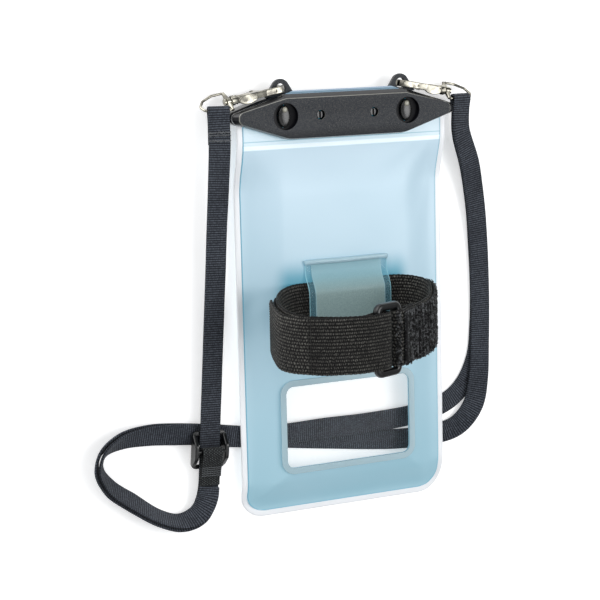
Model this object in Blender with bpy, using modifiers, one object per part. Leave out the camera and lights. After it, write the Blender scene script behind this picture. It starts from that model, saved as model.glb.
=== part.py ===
# Waterproof phone case: a welded film pouch with a twist-lock clamp, an armband and a clip-on neck lanyard.
# It lies on its front, so its back, with the armband, faces up. +X is to the right seen from above,
# +Y points to the clamp and +Z is up. The origin is on the floor, under the middle of the case.
# Lengths are in metres; mm turns the sizes below into metres.
import bpy
import bmesh
from math import asin, atan2, cos, hypot, pi, radians, sin, sqrt
from mathutils import Matrix, Vector

mm = 0.001
fit = 0.3 * mm                      # clearance between touching pieces

# Pouch
pouchWidth = 105 * mm
pouchDrop = 185 * mm                # from the clamp's middle line to the bottom edge
pouchCorner = 12 * mm
sheetThick = 0.5 * mm
weldRim = 4 * mm
pocketRise = 4.4 * mm               # how far the back sheet bulges over the front one
pocketRamp = 10 * mm
pouchLift = 3.2 * mm                # front sheet above the floor, over the lanyard
mouthHeight = 8.5 * mm              # sheet above the clamp's middle line
mouthInset = 2.5 * mm               # from the sheets' edges to the clamp's blunt ends
sheetFall = 24 * mm                 # below the clamp, where the front sheet comes down
sheetFoot = 14 * mm                 # above the bottom weld, where it meets the floor
pocketFall = 18 * mm                # below the clamp, where the pocket opens out

# Window in the back sheet
windowWidth = 63 * mm
windowHeight = 38 * mm
windowCorner = 3.5 * mm
windowFrame = 3 * mm
windowDrop = 142.6 * mm             # from the clamp's middle line to the window's middle
filmThick = 0.4 * mm

# Clamp bars: a long hexagon with blunt ends
clampTop = 10.3 * mm
clampBottom = 10.6 * mm
taperTop = 25 * mm                  # length of the slanted edges, along the clamp
taperBottom = 26 * mm
clampTip = 2.2 * mm                 # half height of the blunt end
clampCorner = 2.5 * mm
frontBarThick = 8.5 * mm
backBarThick = 4.1 * mm
barEdge = 0.7 * mm
earInset = 25 * mm                  # from the clamp's end
earY = 12 * mm
earRadius = 4.4 * mm
earHole = 4.8 * mm
earThick = 2.0 * mm
earFoot = 15 * mm
pegX = 13.35 * mm
pegWide = 3.2 * mm
pegHole = 4.3 * mm
pegSlit = 0.7 * mm
sealWide = 1.8 * mm
sealThick = 1.2 * mm
sealInset = 3.2 * mm
sealArm = 21 * mm                   # along each slanted edge

# Twist locks
lockInset = 24.5 * mm               # from the clamp's end
lockRecess = 12 * mm
lockRecessDeep = 2.6 * mm
lockHeadLong = 9.2 * mm
lockHeadWide = 5.2 * mm
lockHeadThick = 1.3 * mm
lockNub = 1.8 * mm
lockNubTall = 0.5 * mm
lockShaft = 4.4 * mm
lockKnob = 12 * mm
lockKnobThick = 1.3 * mm
lockGripTall = 1.6 * mm
lockGripWide = 2.4 * mm
lockFloor = 0.5 * mm                # knob above the floor
lockSlack = 0.5 * mm                # around the head, the shaft and the knob

# Belt loop and armband
loopWidth = 41.6 * mm
loopTop = 66 * mm                   # from the clamp's middle line to the strip's upper edge
loopWeld = 5 * mm
loopBow = 2.6 * mm                  # how far the strip bows out over the band
bandWidth = 25 * mm
bandThick = 1.4 * mm
bandSteps = 4
bandDrop = 88.5 * mm                # from the clamp's middle line to the band's middle
bandSlip = 6.3 * mm                 # how far the standing band sags away from the clamp
bandSlipZ = 57 * mm                 # height where it has done so
bandFlat = 1.7 * mm                 # where the band lies flat, past the belt loop's edges
bandLift = (4.5 * mm, 1.4 * mm)     # next point on the right, across and up
pileThick = 1.2 * mm
hookTapeThick = 0.8 * mm
buckleWire = 1.5 * mm               # radius
buckleSpan = 12.4 * mm              # between the two long bars
buckleCorner = 2 * mm
buckleX = -6.5 * mm
buckleZ = 62.5 * mm
buckleSlack = 4.1 * mm              # from the buckle's left bar to the middle of the elastic's fold
buckleTilt = radians(20)

# Snap hooks
hookTurn = radians(10.5)            # the hook's line against the clamp's
hookReach = 25.2 * mm               # from the ear's hole to the ring's bar
hookSag = 0.6 * mm                  # how far the hook hangs below the ear's middle
hookThick = 3.0 * mm
hookSlot = 2.1 * mm
gateThick = 1.5 * mm
gatePinX = 12.2 * mm
gatePinZ = -3.3 * mm
gatePin = 1.2 * mm
gateHole = 1.6 * mm
springWire = 0.3 * mm
springRadius = 0.55 * mm
springTurns = 2.5
springSteps = 20
springX = 10.2 * mm
gateTop = -2.45 * mm                # the gate's upper side under the spring
studShaft = 1.5 * mm
studHead = 3.2 * mm
studHeadThick = 0.9 * mm
collar = 4.6 * mm
collarLong = 3 * mm
studDeep = 2.4 * mm                 # stud inside the collar

# Lanyard rings
ringWire = 0.8 * mm                 # radius
ringHalfBar = 5.5 * mm
ringDeep = 13.2 * mm
ringRoll = radians(50)
ringBoss = 3.8 * mm
ringBossLong = 1.8 * mm
seatSlope = 0.288                   # the strap's seat against the hook's line

# Lanyard
strapWidth = 9.8 * mm
strapThick = 1.0 * mm
layerStep = strapThick + 0.35 * mm
looseStep = strapThick + 0.9 * mm   # where the two layers bend together
sliderWidth = 16.4 * mm
sliderLength = 17.5 * mm
sliderRail = 1.9 * mm
sliderBar = 1.5 * mm
sliderY = -64.5 * mm
sliderStrapZ = 5.4 * mm             # middle of the strap where it passes through the slider

# Places worked out from the sizes above
clampHalf = pouchWidth / 2 + mouthInset
clampFlatTop = clampHalf - taperTop
clampFlatBottom = clampHalf - taperBottom
earX = clampHalf - earInset
lockX = clampHalf - lockInset
clampY = (pouchDrop - earY - earRadius) / 2
bottomY = clampY - pouchDrop
windowY = clampY - windowDrop
bandY = clampY - bandDrop
frontSheetZ = frontBarThick + fit
backSheetZ = frontSheetZ + sheetThick + fit
backBarZ = backSheetZ + sheetThick + fit
backBarTop = backBarZ + backBarThick
plateauZ = pouchLift + 2 * sheetThick + fit + pocketRise
earZ = frontBarThick - earThick / 2
recessFloor = backBarTop - lockRecessDeep
buckleLong = bandWidth + 2 * (buckleWire + 2 * fit)


def clearScene():
    for thing in list(bpy.data.objects):
        bpy.data.objects.remove(thing)


clearScene()
caseParts = bpy.data.collections.new("waterproof_phone_case")
cutters = bpy.data.collections.new("cutters")
bpy.context.scene.collection.children.link(caseParts)
bpy.context.scene.collection.children.link(cutters)


def makeMaterial(name, color, roughness, metallic=0.0, alpha=1.0):
    material = bpy.data.materials.new(name)
    material.use_nodes = True
    shader = material.node_tree.nodes["Principled BSDF"]
    shader.inputs["Base Color"].default_value = (*color, 1)
    shader.inputs["Roughness"].default_value = roughness
    shader.inputs["Metallic"].default_value = metallic
    shader.inputs["Alpha"].default_value = alpha
    material.diffuse_color = (*color, alpha)
    return material


blueFilm = makeMaterial("blue_film", (0.45, 0.72, 0.85), 0.45, alpha=0.75)
clearFilm = makeMaterial("clear_film", (0.88, 0.93, 0.97), 0.2, alpha=0.4)
darkPlastic = makeMaterial("dark_plastic", (0.07, 0.07, 0.075), 0.55)
blackPlastic = makeMaterial("black_plastic", (0.02, 0.02, 0.022), 0.35)
blackWeb = makeMaterial("black_web", (0.02, 0.02, 0.025), 0.8)
blackElastic = makeMaterial("black_elastic", (0.025, 0.025, 0.025), 0.9)
nickel = makeMaterial("nickel", (0.75, 0.72, 0.66), 0.2, metallic=1.0)
greyFoam = makeMaterial("grey_foam", (0.25, 0.26, 0.28), 0.9)


def addObject(name, mesh, material=None, collection=None):
    thing = bpy.data.objects.new(name, mesh)
    (collection or caseParts).objects.link(thing)
    if material:
        mesh.materials.clear()
        mesh.materials.append(material)
    if collection is cutters:
        thing.hide_render = True
        thing.display_type = "WIRE"
    return thing


def meshFrom(build):
    # A mesh made by one or more bmesh calls.
    mesh = bpy.data.meshes.new("shape")
    work = bmesh.new()
    build(work)
    bmesh.ops.recalc_face_normals(work, faces=work.faces)
    work.to_mesh(mesh)
    work.free()
    return mesh


def settled(thing, name, material, collection=None):
    # Turns a curve or a modified object into a plain mesh object in the same place.
    bpy.context.view_layer.update()
    evaluated = thing.evaluated_get(bpy.context.evaluated_depsgraph_get())
    mesh = bpy.data.meshes.new_from_object(evaluated)
    work = bmesh.new()
    work.from_mesh(mesh)
    bmesh.ops.remove_doubles(work, verts=work.verts, dist=0.00001)
    bmesh.ops.recalc_face_normals(work, faces=work.faces)
    work.to_mesh(mesh)
    work.free()
    place = thing.matrix_world.copy()
    bpy.data.objects.remove(thing)
    result = addObject(name, mesh, material, collection)
    result.matrix_world = place
    return result


def smooth(thing, angle=35):
    thing.data.shade_smooth()
    thing.data.set_sharp_from_angle(angle=radians(angle))


def box(size, place, name="box", material=None, collection=cutters, edge=0.0, turn=0.0):
    mesh = meshFrom(lambda work: bmesh.ops.create_cube(work, size=1, matrix=Matrix.Diagonal((*size, 1))))
    thing = addObject(name, mesh, material, collection)
    thing.location = place
    thing.rotation_euler.z = turn
    if edge:
        bevel = thing.modifiers.new("edge", "BEVEL")
        bevel.width = edge
        bevel.segments = 2
    return thing


def cylinder(diameter, height, place, name="cylinder", material=None, collection=cutters, axis="Z", sides=24,
             stretch=1.0):
    # stretch lengthens a Z cylinder along Y, which makes it oval.
    turn = {"X": Matrix.Rotation(pi / 2, 4, "Y"), "Y": Matrix.Rotation(pi / 2, 4, "X"), "Z": Matrix()}[axis]
    shape = turn @ Matrix.Diagonal((1, stretch, 1, 1))
    mesh = meshFrom(lambda work: bmesh.ops.create_cone(
        work, cap_ends=True, segments=sides, radius1=diameter / 2, radius2=diameter / 2, depth=height, matrix=shape))
    thing = addObject(name, mesh, material, collection)
    thing.location = place
    return thing


def combine(thing, other, operation):
    modifier = thing.modifiers.new(operation.lower(), "BOOLEAN")
    modifier.object = other
    modifier.operation = operation
    modifier.solver = "EXACT"


def corner(points, radius, steps=4):
    # Rounds each corner of a closed outline with an arc.
    outline = []
    count = len(points)
    for i, point in enumerate(points):
        here = Vector(point)
        before = (Vector(points[i - 1]) - here).normalized()
        after = (Vector(points[(i + 1) % count]) - here).normalized()
        half = before.angle(after) / 2
        bisector = (before + after).normalized()
        centre = here + bisector * (radius / sin(half))
        start = here + before * (radius * cos(half) / sin(half)) - centre
        end = here + after * (radius * cos(half) / sin(half)) - centre
        for j in range(steps + 1):
            t = j / steps
            swing = start.lerp(end, t)
            outline.append(centre + swing.normalized() * radius)
    return outline


def circle(diameter, place=(0, 0), sides=24):
    return [Vector((place[0] + cos(2 * pi * i / sides) * diameter / 2,
                    place[1] + sin(2 * pi * i / sides) * diameter / 2)) for i in range(sides)]


def plate(name, outlines, bottom, thickness, material=None, collection=None, edge=0.0):
    # A flat piece in the XY plane: the first outline is its edge and the others are its holes.
    curve = bpy.data.curves.new(name, "CURVE")
    curve.dimensions = "2D"
    curve.fill_mode = "BOTH"
    curve.extrude = thickness / 2 - edge
    curve.bevel_depth = edge
    curve.bevel_resolution = 1
    curve.offset = -edge
    for outline in outlines:
        spline = curve.splines.new("POLY")
        spline.points.add(len(outline) - 1)
        for target, point in zip(spline.points, outline):
            target.co = (point[0], point[1], 0, 1)
        spline.use_cyclic_u = True
    rough = bpy.data.objects.new("rough", curve)
    bpy.context.scene.collection.objects.link(rough)
    rough.location.z = bottom + thickness / 2
    return settled(rough, name, material, collection)


def rectangle(width, height, place=(0, 0)):
    x, y = place
    return [(x - width / 2, y - height / 2), (x + width / 2, y - height / 2),
            (x + width / 2, y + height / 2), (x - width / 2, y + height / 2)]


def smoothRoute(points, steps):
    # A curve through the given points that doesn't swing out where their spacing changes.
    points = [Vector(point) for point in points]
    points = [points[0] * 2 - points[1]] + points + [points[-1] * 2 - points[-2]]
    route = []
    for a, b, c, d in zip(points, points[1:], points[2:], points[3:]):
        first = sqrt((b - a).length)
        second = sqrt((c - b).length)
        third = sqrt((d - c).length)
        leave = (c - b) + ((b - a) / first - (c - a) / (first + second)) * second
        arrive = (c - b) + ((d - c) / third - (d - b) / (second + third)) * second
        for j in range(steps):
            t = j / steps
            route.append(b * (2 * t ** 3 - 3 * t ** 2 + 1) + leave * (t ** 3 - 2 * t ** 2 + t)
                         + c * (3 * t ** 2 - 2 * t ** 3) + arrive * (t ** 3 - t ** 2))
    return route + [points[-2]]


def arc(centre, radius, start, end, count):
    # Points around a centre in the XZ plane, with angles in degrees from +X towards +Z.
    return [(centre[0] + radius * cos(radians(start + (end - start) * i / count)),
             centre[1] + radius * sin(radians(start + (end - start) * i / count))) for i in range(count + 1)]


def ribbon(name, route, sides, width, thickness, material):
    # A flat strip swept along a route. sides holds the direction of its width at each point.
    def build(work):
        rings = []
        for i, (point, side) in enumerate(zip(route, sides)):
            forward = (route[min(i + 1, len(route) - 1)] - route[max(i - 1, 0)]).normalized()
            across = (side - forward * side.dot(forward)).normalized()
            up = across.cross(forward)
            corners = ((-1, -1), (1, -1), (1, 1), (-1, 1))
            rings.append([work.verts.new(point + across * (a * width / 2) + up * (b * thickness / 2))
                          for a, b in corners])
        for first, second in zip(rings, rings[1:]):
            for k in range(4):
                work.faces.new((first[k], first[(k + 1) % 4], second[(k + 1) % 4], second[k]))
        work.faces.new(rings[0][::-1])
        work.faces.new(rings[-1])
    thing = addObject(name, meshFrom(build), material)
    smooth(thing)
    return thing


def wire(name, points, radius, material, closed=False, resolution=2, collection=None):
    # A round wire along a route of points.
    curve = bpy.data.curves.new(name, "CURVE")
    curve.dimensions = "3D"
    curve.bevel_depth = radius
    curve.bevel_resolution = resolution
    curve.use_fill_caps = not closed
    spline = curve.splines.new("POLY")
    spline.points.add(len(points) - 1)
    for target, point in zip(spline.points, points):
        target.co = (*point, 1)
    spline.use_cyclic_u = closed
    rough = bpy.data.objects.new("rough", curve)
    bpy.context.scene.collection.objects.link(rough)
    result = settled(rough, name, material, collection)
    smooth(result)
    return result


def ease(value):
    value = min(max(value, 0), 1)
    return value * value * (3 - 2 * value)


# Pouch: two sheets welded along the rim, open at the clamp

def edgeDistance(x, y):
    # How far a point of the sheet is from the rounded side and bottom edges.
    side = pouchWidth / 2 - abs(x)
    low = y - bottomY
    if side < pouchCorner and low < pouchCorner:
        return pouchCorner - hypot(pouchCorner - side, pouchCorner - low)
    return min(side, low)


def rimZ(y):
    # The front sheet's underside: it falls from the clamp and meets the floor at the bottom edge.
    clampEdge = clampY - clampBottom
    fall = ease((clampEdge - y) / sheetFall)
    foot = ease((y - bottomY - weldRim) / sheetFoot)
    return (frontSheetZ + (pouchLift - frontSheetZ) * fall) * foot


def bulge(x, y):
    clampEdge = clampY - clampBottom
    fall = ease((clampEdge - y) / pocketFall)
    return pocketRise * ease((edgeDistance(x, y) - weldRim) / pocketRamp) * fall


def sheetRows():
    # Where the rows of the sheets' faces lie: close together at the rounded corners and below the clamp.
    clampEdge = clampY - clampBottom
    fallStart = clampEdge - sheetFall
    rows = [bottomY + pouchCorner * (1 - cos(pi / 2 * i / 6)) for i in range(6)]
    rows += [bottomY + pouchCorner + (fallStart - bottomY - pouchCorner) * i / 9 for i in range(9)]
    rows += [fallStart + sheetFall * i / 6 for i in range(6)]
    return rows + [clampEdge, clampY, clampY + clampTip, clampY + mouthHeight]


def sheet(name, height, material):
    columns = 18

    def build(work):
        grid = []
        for y in sheetRows():
            low = y - bottomY
            narrow = pouchCorner - sqrt(max(0, low * (2 * pouchCorner - low))) if low < pouchCorner else 0
            # The mouth follows the clamp's slanted ends, inside the bars.
            rise = max(0, y - clampY - clampTip)
            slant = taperTop * rise / (clampTop - clampTip)
            halfWidth = pouchWidth / 2 - narrow - slant
            shares = [2 * i / columns - 1 for i in range(columns + 1)]
            places = [halfWidth * u * (1.5 - 0.5 * u * u) for u in shares]
            grid.append([work.verts.new((x, y, height(x, y))) for x in places])
        for low, high in zip(grid, grid[1:]):
            for i in range(columns):
                work.faces.new((low[i], low[i + 1], high[i + 1], high[i]))
    thing = addObject(name, meshFrom(build), material)
    if thing.data.polygons[0].normal.z < 0:
        thing.data.flip_normals()
    solid = thing.modifiers.new("thickness", "SOLIDIFY")
    solid.thickness = sheetThick
    solid.offset = 1
    solid = settled(thing, name, material)
    smooth(solid)
    return solid


frontSheet = sheet("front_sheet", lambda x, y: rimZ(y), clearFilm)
backSheet = sheet("back_sheet", lambda x, y: rimZ(y) + sheetThick + fit + bulge(x, y), blueFilm)

for sideSign in (-1, 1):
    for pouchSheet in (frontSheet, backSheet):
        tall = 6 * mm
        middle = backSheetZ
        combine(pouchSheet, cylinder(pegHole, tall, (sideSign * pegX, clampY, middle)), "DIFFERENCE")
        shaftHole = lockHeadWide + 2 * lockSlack
        stretch = (lockHeadLong + 2 * lockSlack) / shaftHole
        combine(pouchSheet, cylinder(shaftHole, tall, (sideSign * lockX, clampY, middle), stretch=stretch),
                "DIFFERENCE")

windowCut = plate("window_cut", [corner(rectangle(windowWidth, windowHeight, (0, windowY)), windowCorner)],
                  plateauZ - 3 * mm, 5 * mm, collection=cutters)
combine(backSheet, windowCut, "DIFFERENCE")
frameOutline = corner(rectangle(windowWidth + 2 * windowFrame, windowHeight + 2 * windowFrame, (0, windowY)),
                      windowCorner + windowFrame)
windowFilm = plate("window_film", [frameOutline], plateauZ + fit, filmThick, clearFilm)


# Clamp: two bars, a foam seal and two twist locks

def barOutline(grow=0.0):
    # The hexagon of both bars, grown or shrunk by moving its edges.
    half, top, low = clampHalf + grow, clampTop + grow, clampBottom + grow
    points = [(-half, clampY - clampTip), (-clampFlatBottom, clampY - low), (clampFlatBottom, clampY - low),
              (half, clampY - clampTip), (half, clampY + clampTip), (clampFlatTop, clampY + top),
              (-clampFlatTop, clampY + top), (-half, clampY + clampTip)]
    return corner(points, clampCorner)


def earOutline(sign):
    # A lug that stands on the bar's top edge and narrows to a round end about its hole.
    x, y = sign * earX, clampY + earY
    foot = clampY + clampTop - 2 * mm
    start = atan2(-(y - foot), earFoot / 2)
    spread = asin(min(0.95, earRadius / hypot(earFoot / 2, y - foot)))
    right = start + pi / 2 - spread
    left = pi - right
    count = 12
    points = [(x - earFoot / 2, foot), (x + earFoot / 2, foot)]
    for i in range(count + 1):
        angle = right + (left - right) * i / count
        points.append((x + earRadius * cos(angle), y + earRadius * sin(angle)))
    return points


frontBar = plate("clamp_front_bar", [barOutline()], 0, frontBarThick, darkPlastic, edge=barEdge)
backBar = plate("clamp_back_bar", [barOutline()], backBarZ, backBarThick, darkPlastic, edge=barEdge)

for sideSign in (-1, 1):
    ear = plate("ear", [earOutline(sideSign)], earZ - earThick / 2 - 0.01 * mm, earThick, collection=cutters,
                edge=0.3 * mm)
    combine(frontBar, ear, "UNION")
    combine(frontBar, cylinder(earHole, 4 * earThick, (sideSign * earX, clampY + earY, earZ)), "DIFFERENCE")
    knobRoom = lockFloor + lockGripTall + lockKnobThick + fit
    combine(frontBar, cylinder(lockKnob + 2 * lockSlack, 2 * knobRoom, (sideSign * lockX, clampY, 0), sides=32),
            "DIFFERENCE")
    combine(frontBar, cylinder(lockShaft + 2 * lockSlack, 4 * frontBarThick, (sideSign * lockX, clampY, 0)),
            "DIFFERENCE")
    pegTop = backBarTop - 1.2 * mm
    pegFoot = frontBarThick - 1 * mm
    peg = cylinder(pegWide, pegTop - pegFoot, (sideSign * pegX, clampY, (pegTop + pegFoot) / 2))
    combine(frontBar, peg, "UNION")
    slitDeep = pegTop - frontBarThick - 0.5 * mm
    slit = box((pegSlit, 2 * pegWide, slitDeep * 2), (sideSign * pegX, clampY, pegTop))
    combine(frontBar, slit, "DIFFERENCE")

    recess = cylinder(lockRecess, 2 * lockRecessDeep, (sideSign * lockX, clampY, backBarTop), sides=36)
    combine(backBar, recess, "DIFFERENCE")
    slotWide = lockHeadWide + 2 * lockSlack
    slot = cylinder(slotWide, 4 * backBarThick, (sideSign * lockX, clampY, backBarZ),
                    stretch=(lockHeadLong + 2 * lockSlack) / slotWide)
    combine(backBar, slot, "DIFFERENCE")
    combine(backBar, cylinder(pegHole, 4 * backBarThick, (sideSign * pegX, clampY, backBarZ)), "DIFFERENCE")


def sealOutline(wide, armLong):
    # A strip that runs along the bar's lower edges, below the locks.
    slope = Vector((taperBottom, clampBottom - clampTip)).normalized()
    bend = Vector((clampFlatBottom, clampY - clampBottom))
    low, high = [], []
    for sign in (-1, 1):
        along = Vector((sign * slope.x, slope.y))
        inward = Vector((-sign * slope.y, slope.x))
        end = Vector((sign * bend.x, bend.y)) + along * armLong
        knee = Vector((sign * bend.x, bend.y))
        for side, depth in ((low, sealInset - wide / 2), (high, sealInset + wide / 2)):
            kneePoint = knee + Vector((0, depth)) - Vector((sign * depth * slope.y / (1 + slope.x), 0))
            endPoint = end + inward * depth
            side.extend([endPoint, kneePoint] if sign < 0 else [kneePoint, endPoint])
    return low + high[::-1]


groove = plate("groove", [sealOutline(sealWide + 2 * fit, sealArm + fit)], backBarZ - 1 * mm, sealThick + fit + 1 * mm,
               collection=cutters)
combine(backBar, groove, "DIFFERENCE")
plate("clamp_seal", [sealOutline(sealWide, sealArm)], backBarZ, sealThick, greyFoam)

for sideName, sideSign in (("left", -1), ("right", 1)):
    place = Vector((sideSign * lockX, clampY, 0))
    knobBottom = lockFloor + lockGripTall
    headBottom = recessFloor + fit
    headTop = headBottom + lockHeadThick
    lock = cylinder(lockKnob, lockKnobThick, (0, 0, knobBottom + lockKnobThick / 2), "twist_lock_" + sideName,
                    darkPlastic, caseParts, sides=32)
    lock.location.xy = place.xy
    grip = box((lockKnob - 3 * mm, lockGripWide, lockGripTall + 0.2 * mm),
               place + Vector((0, 0, lockFloor + (lockGripTall + 0.2 * mm) / 2)))
    combine(lock, grip, "UNION")
    shaftLong = headBottom - knobBottom
    combine(lock, cylinder(lockShaft, shaftLong, place + Vector((0, 0, knobBottom + shaftLong / 2 + 0.1 * mm))),
            "UNION")
    combine(lock, cylinder(lockHeadWide, lockHeadThick, place + Vector((0, 0, headBottom + lockHeadThick / 2)),
                           stretch=lockHeadLong / lockHeadWide), "UNION")
    nub = cylinder(lockNub, lockNubTall + 0.2 * mm,
                   place + Vector((0, lockHeadLong / 2 - lockNub / 2 - 0.3 * mm, headTop + lockNubTall / 2 - 0.1 * mm)),
                   sides=16)
    combine(lock, nub, "UNION")


# Belt loop: a strip welded to the back sheet above and below the armband
def slip(z):
    # How far the armband has sagged away from the clamp at a height.
    return bandSlip * ease((z - bandRestZ) / (bandSlipZ - bandRestZ))


def profileRibbon(name, points, width, thickness, material, place, plane):
    # A ribbon whose route is drawn in the YZ or the XZ plane.
    if plane == "YZ":
        path = [Vector((place, a, b)) for a, b in points]
        side = Vector((1, 0, 0))
    else:
        path = [Vector((a, place - slip(b), b)) for a, b in points]
        side = Vector((0, 1, 0))
    return ribbon(name, path, [side] * len(path), width, thickness, material)


stripZ = plateauZ + fit + sheetThick / 2
bandRestZ = plateauZ + fit + bandThick / 2
overZ = bandRestZ + bandThick / 2 + fit + sheetThick / 2
bandHigh = bandY + bandWidth / 2 + 0.8 * mm
bandLow = bandY - bandWidth / 2 - 0.8 * mm
loopHigh = clampY - loopTop
loopLow = bandLow - 4 * mm - loopWeld
archSteps = 12


def archShape(share):
    # The strip's rise from weld to weld: steep at the welds and flat over the band.
    return ease(min(share, 1 - share) * 3.4)


stripArch = []
archLow, archHigh = loopLow + loopWeld, loopHigh - loopWeld
for i in range(archSteps + 1):
    share = i / archSteps
    stripArch.append((archLow + (archHigh - archLow) * share, stripZ + (overZ + loopBow - stripZ) * archShape(share)))
profileRibbon("belt_loop", [(loopLow, stripZ)] + stripArch + [(loopHigh, stripZ)], loopWidth, sheetThick, blueFilm,
              0, "YZ")


# Armband: one elastic that starts round the buckle's right bar, runs behind the belt loop and up the left side,
# goes round the buckle's left bar and comes back outside itself
along = Vector((cos(buckleTilt), -sin(buckleTilt)))
outward = Vector((sin(buckleTilt), cos(buckleTilt)))
buckleMiddle = Vector((buckleX, buckleZ))
rightBar = buckleMiddle + along * (buckleSpan / 2)
leftBar = buckleMiddle - along * (buckleSpan / 2)
wrapRadius = buckleWire + fit + bandThick / 2 + 0.1 * mm
layer = bandThick / 2 + 0.18 * mm
tiltDegrees = 90 - buckleTilt * 180 / pi
rightFall = Vector((0.84, -0.54))
rightOut = Vector((0.54, 0.84))
rightMeet = rightBar + rightFall * (8 * mm)
rightTail = rightBar + rightFall * (16 * mm)
tailStart = rightTail - rightOut * layer
leftMeet = leftBar - along * (8 * mm)


def millimetres(points):
    return [Vector((x * mm, z * mm)) for x, z in points]


def offsetRoute(points, distance):
    # Moves a route sideways, to the left of its direction for a positive distance.
    moved = []
    for i, point in enumerate(points):
        forward = (points[min(i + 1, len(points) - 1)] - points[max(i - 1, 0)]).normalized()
        moved.append(point + Vector((-forward.y, forward.x)) * distance)
    return moved


rightSide = millimetres([(21.5, 46.2), (29.5, 36), (33.5, 25), (31.5, 16.5)])
leftSide = millimetres([(-28.5, 12), (-36, 18), (-42.5, 27), (-45.6, 37), (-45, 47), (-40, 56), (-33.5, 61.5),
                        (-26.5, 65.2)])
tapeStep = bandThick / 2 + fit + hookTapeThick / 2
returnStep = tapeStep + hookTapeThick / 2 + fit + bandThick / 2 + 0.1 * mm
leftOpen = millimetres([(-35.5, 64.4), (-44.2, 57.5), (-49.6, 47.5)])
flatEnd = loopWidth / 2 + bandFlat

elasticRoute = [tailStart, rightMeet - rightOut * layer]
elasticRoute += arc(rightBar, wrapRadius, -123, -303, 4)
pileStart = len(elasticRoute) - 1
elasticRoute += [rightMeet + rightOut * layer, rightTail + rightOut * layer] + rightSide
pileEnd = len(elasticRoute) - 1
elasticRoute += [(flatEnd + bandLift[0], bandRestZ + bandLift[1])]
elasticRoute += [(flatEnd * share, bandRestZ) for share in (1, 0.5, 0, -0.5, -1)]
tapeStart = len(elasticRoute) + 1
tapeEnd = tapeStart + 2
elasticRoute += leftSide + [leftMeet - outward * layer, leftBar - outward * wrapRadius]
elasticRoute += arc(leftBar + along * buckleSlack, wrapRadius, tiltDegrees - 180, tiltDegrees, 4)
elasticRoute += [leftBar + outward * wrapRadius, leftMeet + outward * layer, leftSide[-1] + outward * 2.6 * layer]
elasticRoute += leftOpen + offsetRoute(leftSide[:5], returnStep)[3:0:-1]
bandRoute = [point.xy for point in smoothRoute([(p[0], p[1], 0) for p in elasticRoute], bandSteps)]
profileRibbon("armband_elastic", bandRoute, bandWidth, bandThick, blackElastic, bandY, "XZ")

pileStep = bandThick / 2 + fit + pileThick / 2 + 0.1 * mm
pileRoute = offsetRoute(bandRoute[pileStart * bandSteps:pileEnd * bandSteps + 1], pileStep)
profileRibbon("armband_loop_pile", pileRoute, bandWidth - 1 * mm, pileThick, blackElastic, bandY, "XZ")
tapeRoute = offsetRoute(bandRoute[tapeStart * bandSteps:tapeEnd * bandSteps + 1], tapeStep)
profileRibbon("armband_hook_tape", tapeRoute, bandWidth - 1 * mm, hookTapeThick, blackElastic, bandY, "XZ")

buckleOutline = corner(rectangle(buckleSpan, buckleLong), buckleCorner)
buckle = wire("armband_buckle", [(p.x, p.y, 0) for p in buckleOutline], buckleWire, blackPlastic, closed=True)
buckle.location = (buckleX, bandY - bandSlip, buckleZ)
buckle.rotation_euler.y = buckleTilt


# Snap hooks: drawn in the hook's own frame, X along the hook from the ear's hole and Z up, in millimetres
hookEnd = hookReach - ringBossLong / 2 - fit
tail = hookEnd / mm - 0.2
hookOutline = [(tail, 2.2), (21.0, 3.2), (12.5, 3.4), (8.0, 4.3), (3.5, 4.5), (0.6, 4.1), (-0.9, 2.9), (-1.35, 1.2),
               (-1.35, -3.6), (-0.5, -5.2), (1.2, -5.4), (1.5, -4.5), (0.35, -3.9), (0.15, -2.8), (0.15, 1.2),
               (0.8, 2.6), (3.5, 3.0), (7.6, 2.6), (9.3, 1.4), (9.6, -1.6), (10.2, -4.9), (13.8, -5.0),
               (15.2, -3.2), (17.0, -2.2), (tail, -2.2)]
gateOutline = [(0.7, -3.9), (0.7, -3.2), (2.0, -3.0), (9.2, -2.9), (11.6, -2.1), (13.8, -2.6), (16.2, -3.5),
               (18.4, -4.1), (18.6, -5.0), (16.2, -4.8), (13.8, -4.8), (11.0, -4.7), (9.0, -4.3), (2.2, -4.2)]


def standing(name, outline, thickness, material, collection=None, edge=0.0):
    # A plate whose outline is drawn in the hook's XZ plane, with its middle on y = 0.
    points = [Vector((x * mm, z * mm)) for x, z in outline]
    thing = plate(name, [points], -thickness / 2, thickness, material, collection, edge)
    thing.data.transform(Matrix.Rotation(pi / 2, 4, "X"))
    return thing


def placed(thing, sign, pivot):
    # Puts a piece that was made in the left hook's frame into its place, with its origin on the pivot.
    thing = settled(thing, thing.name, thing.data.materials[0])
    thing.data.transform(Matrix.Translation(-pivot) @ thing.matrix_world)
    if sign > 0:
        thing.data.transform(Matrix.Diagonal((-1, 1, 1, 1)))
        thing.data.flip_normals()
    thing.matrix_world = hookFrame(sign) @ Matrix.Translation((-sign * pivot.x, pivot.y, pivot.z))
    smooth(thing)


def hookFrame(sign):
    turn = pi - sign * hookTurn
    return Matrix.Translation((sign * earX, clampY + earY, earZ - hookSag)) @ Matrix.Rotation(turn, 4, "Z")


ringPlane = Matrix.Translation((hookReach, 0, 0)) @ Matrix.Rotation(ringRoll, 4, "X")


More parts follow.
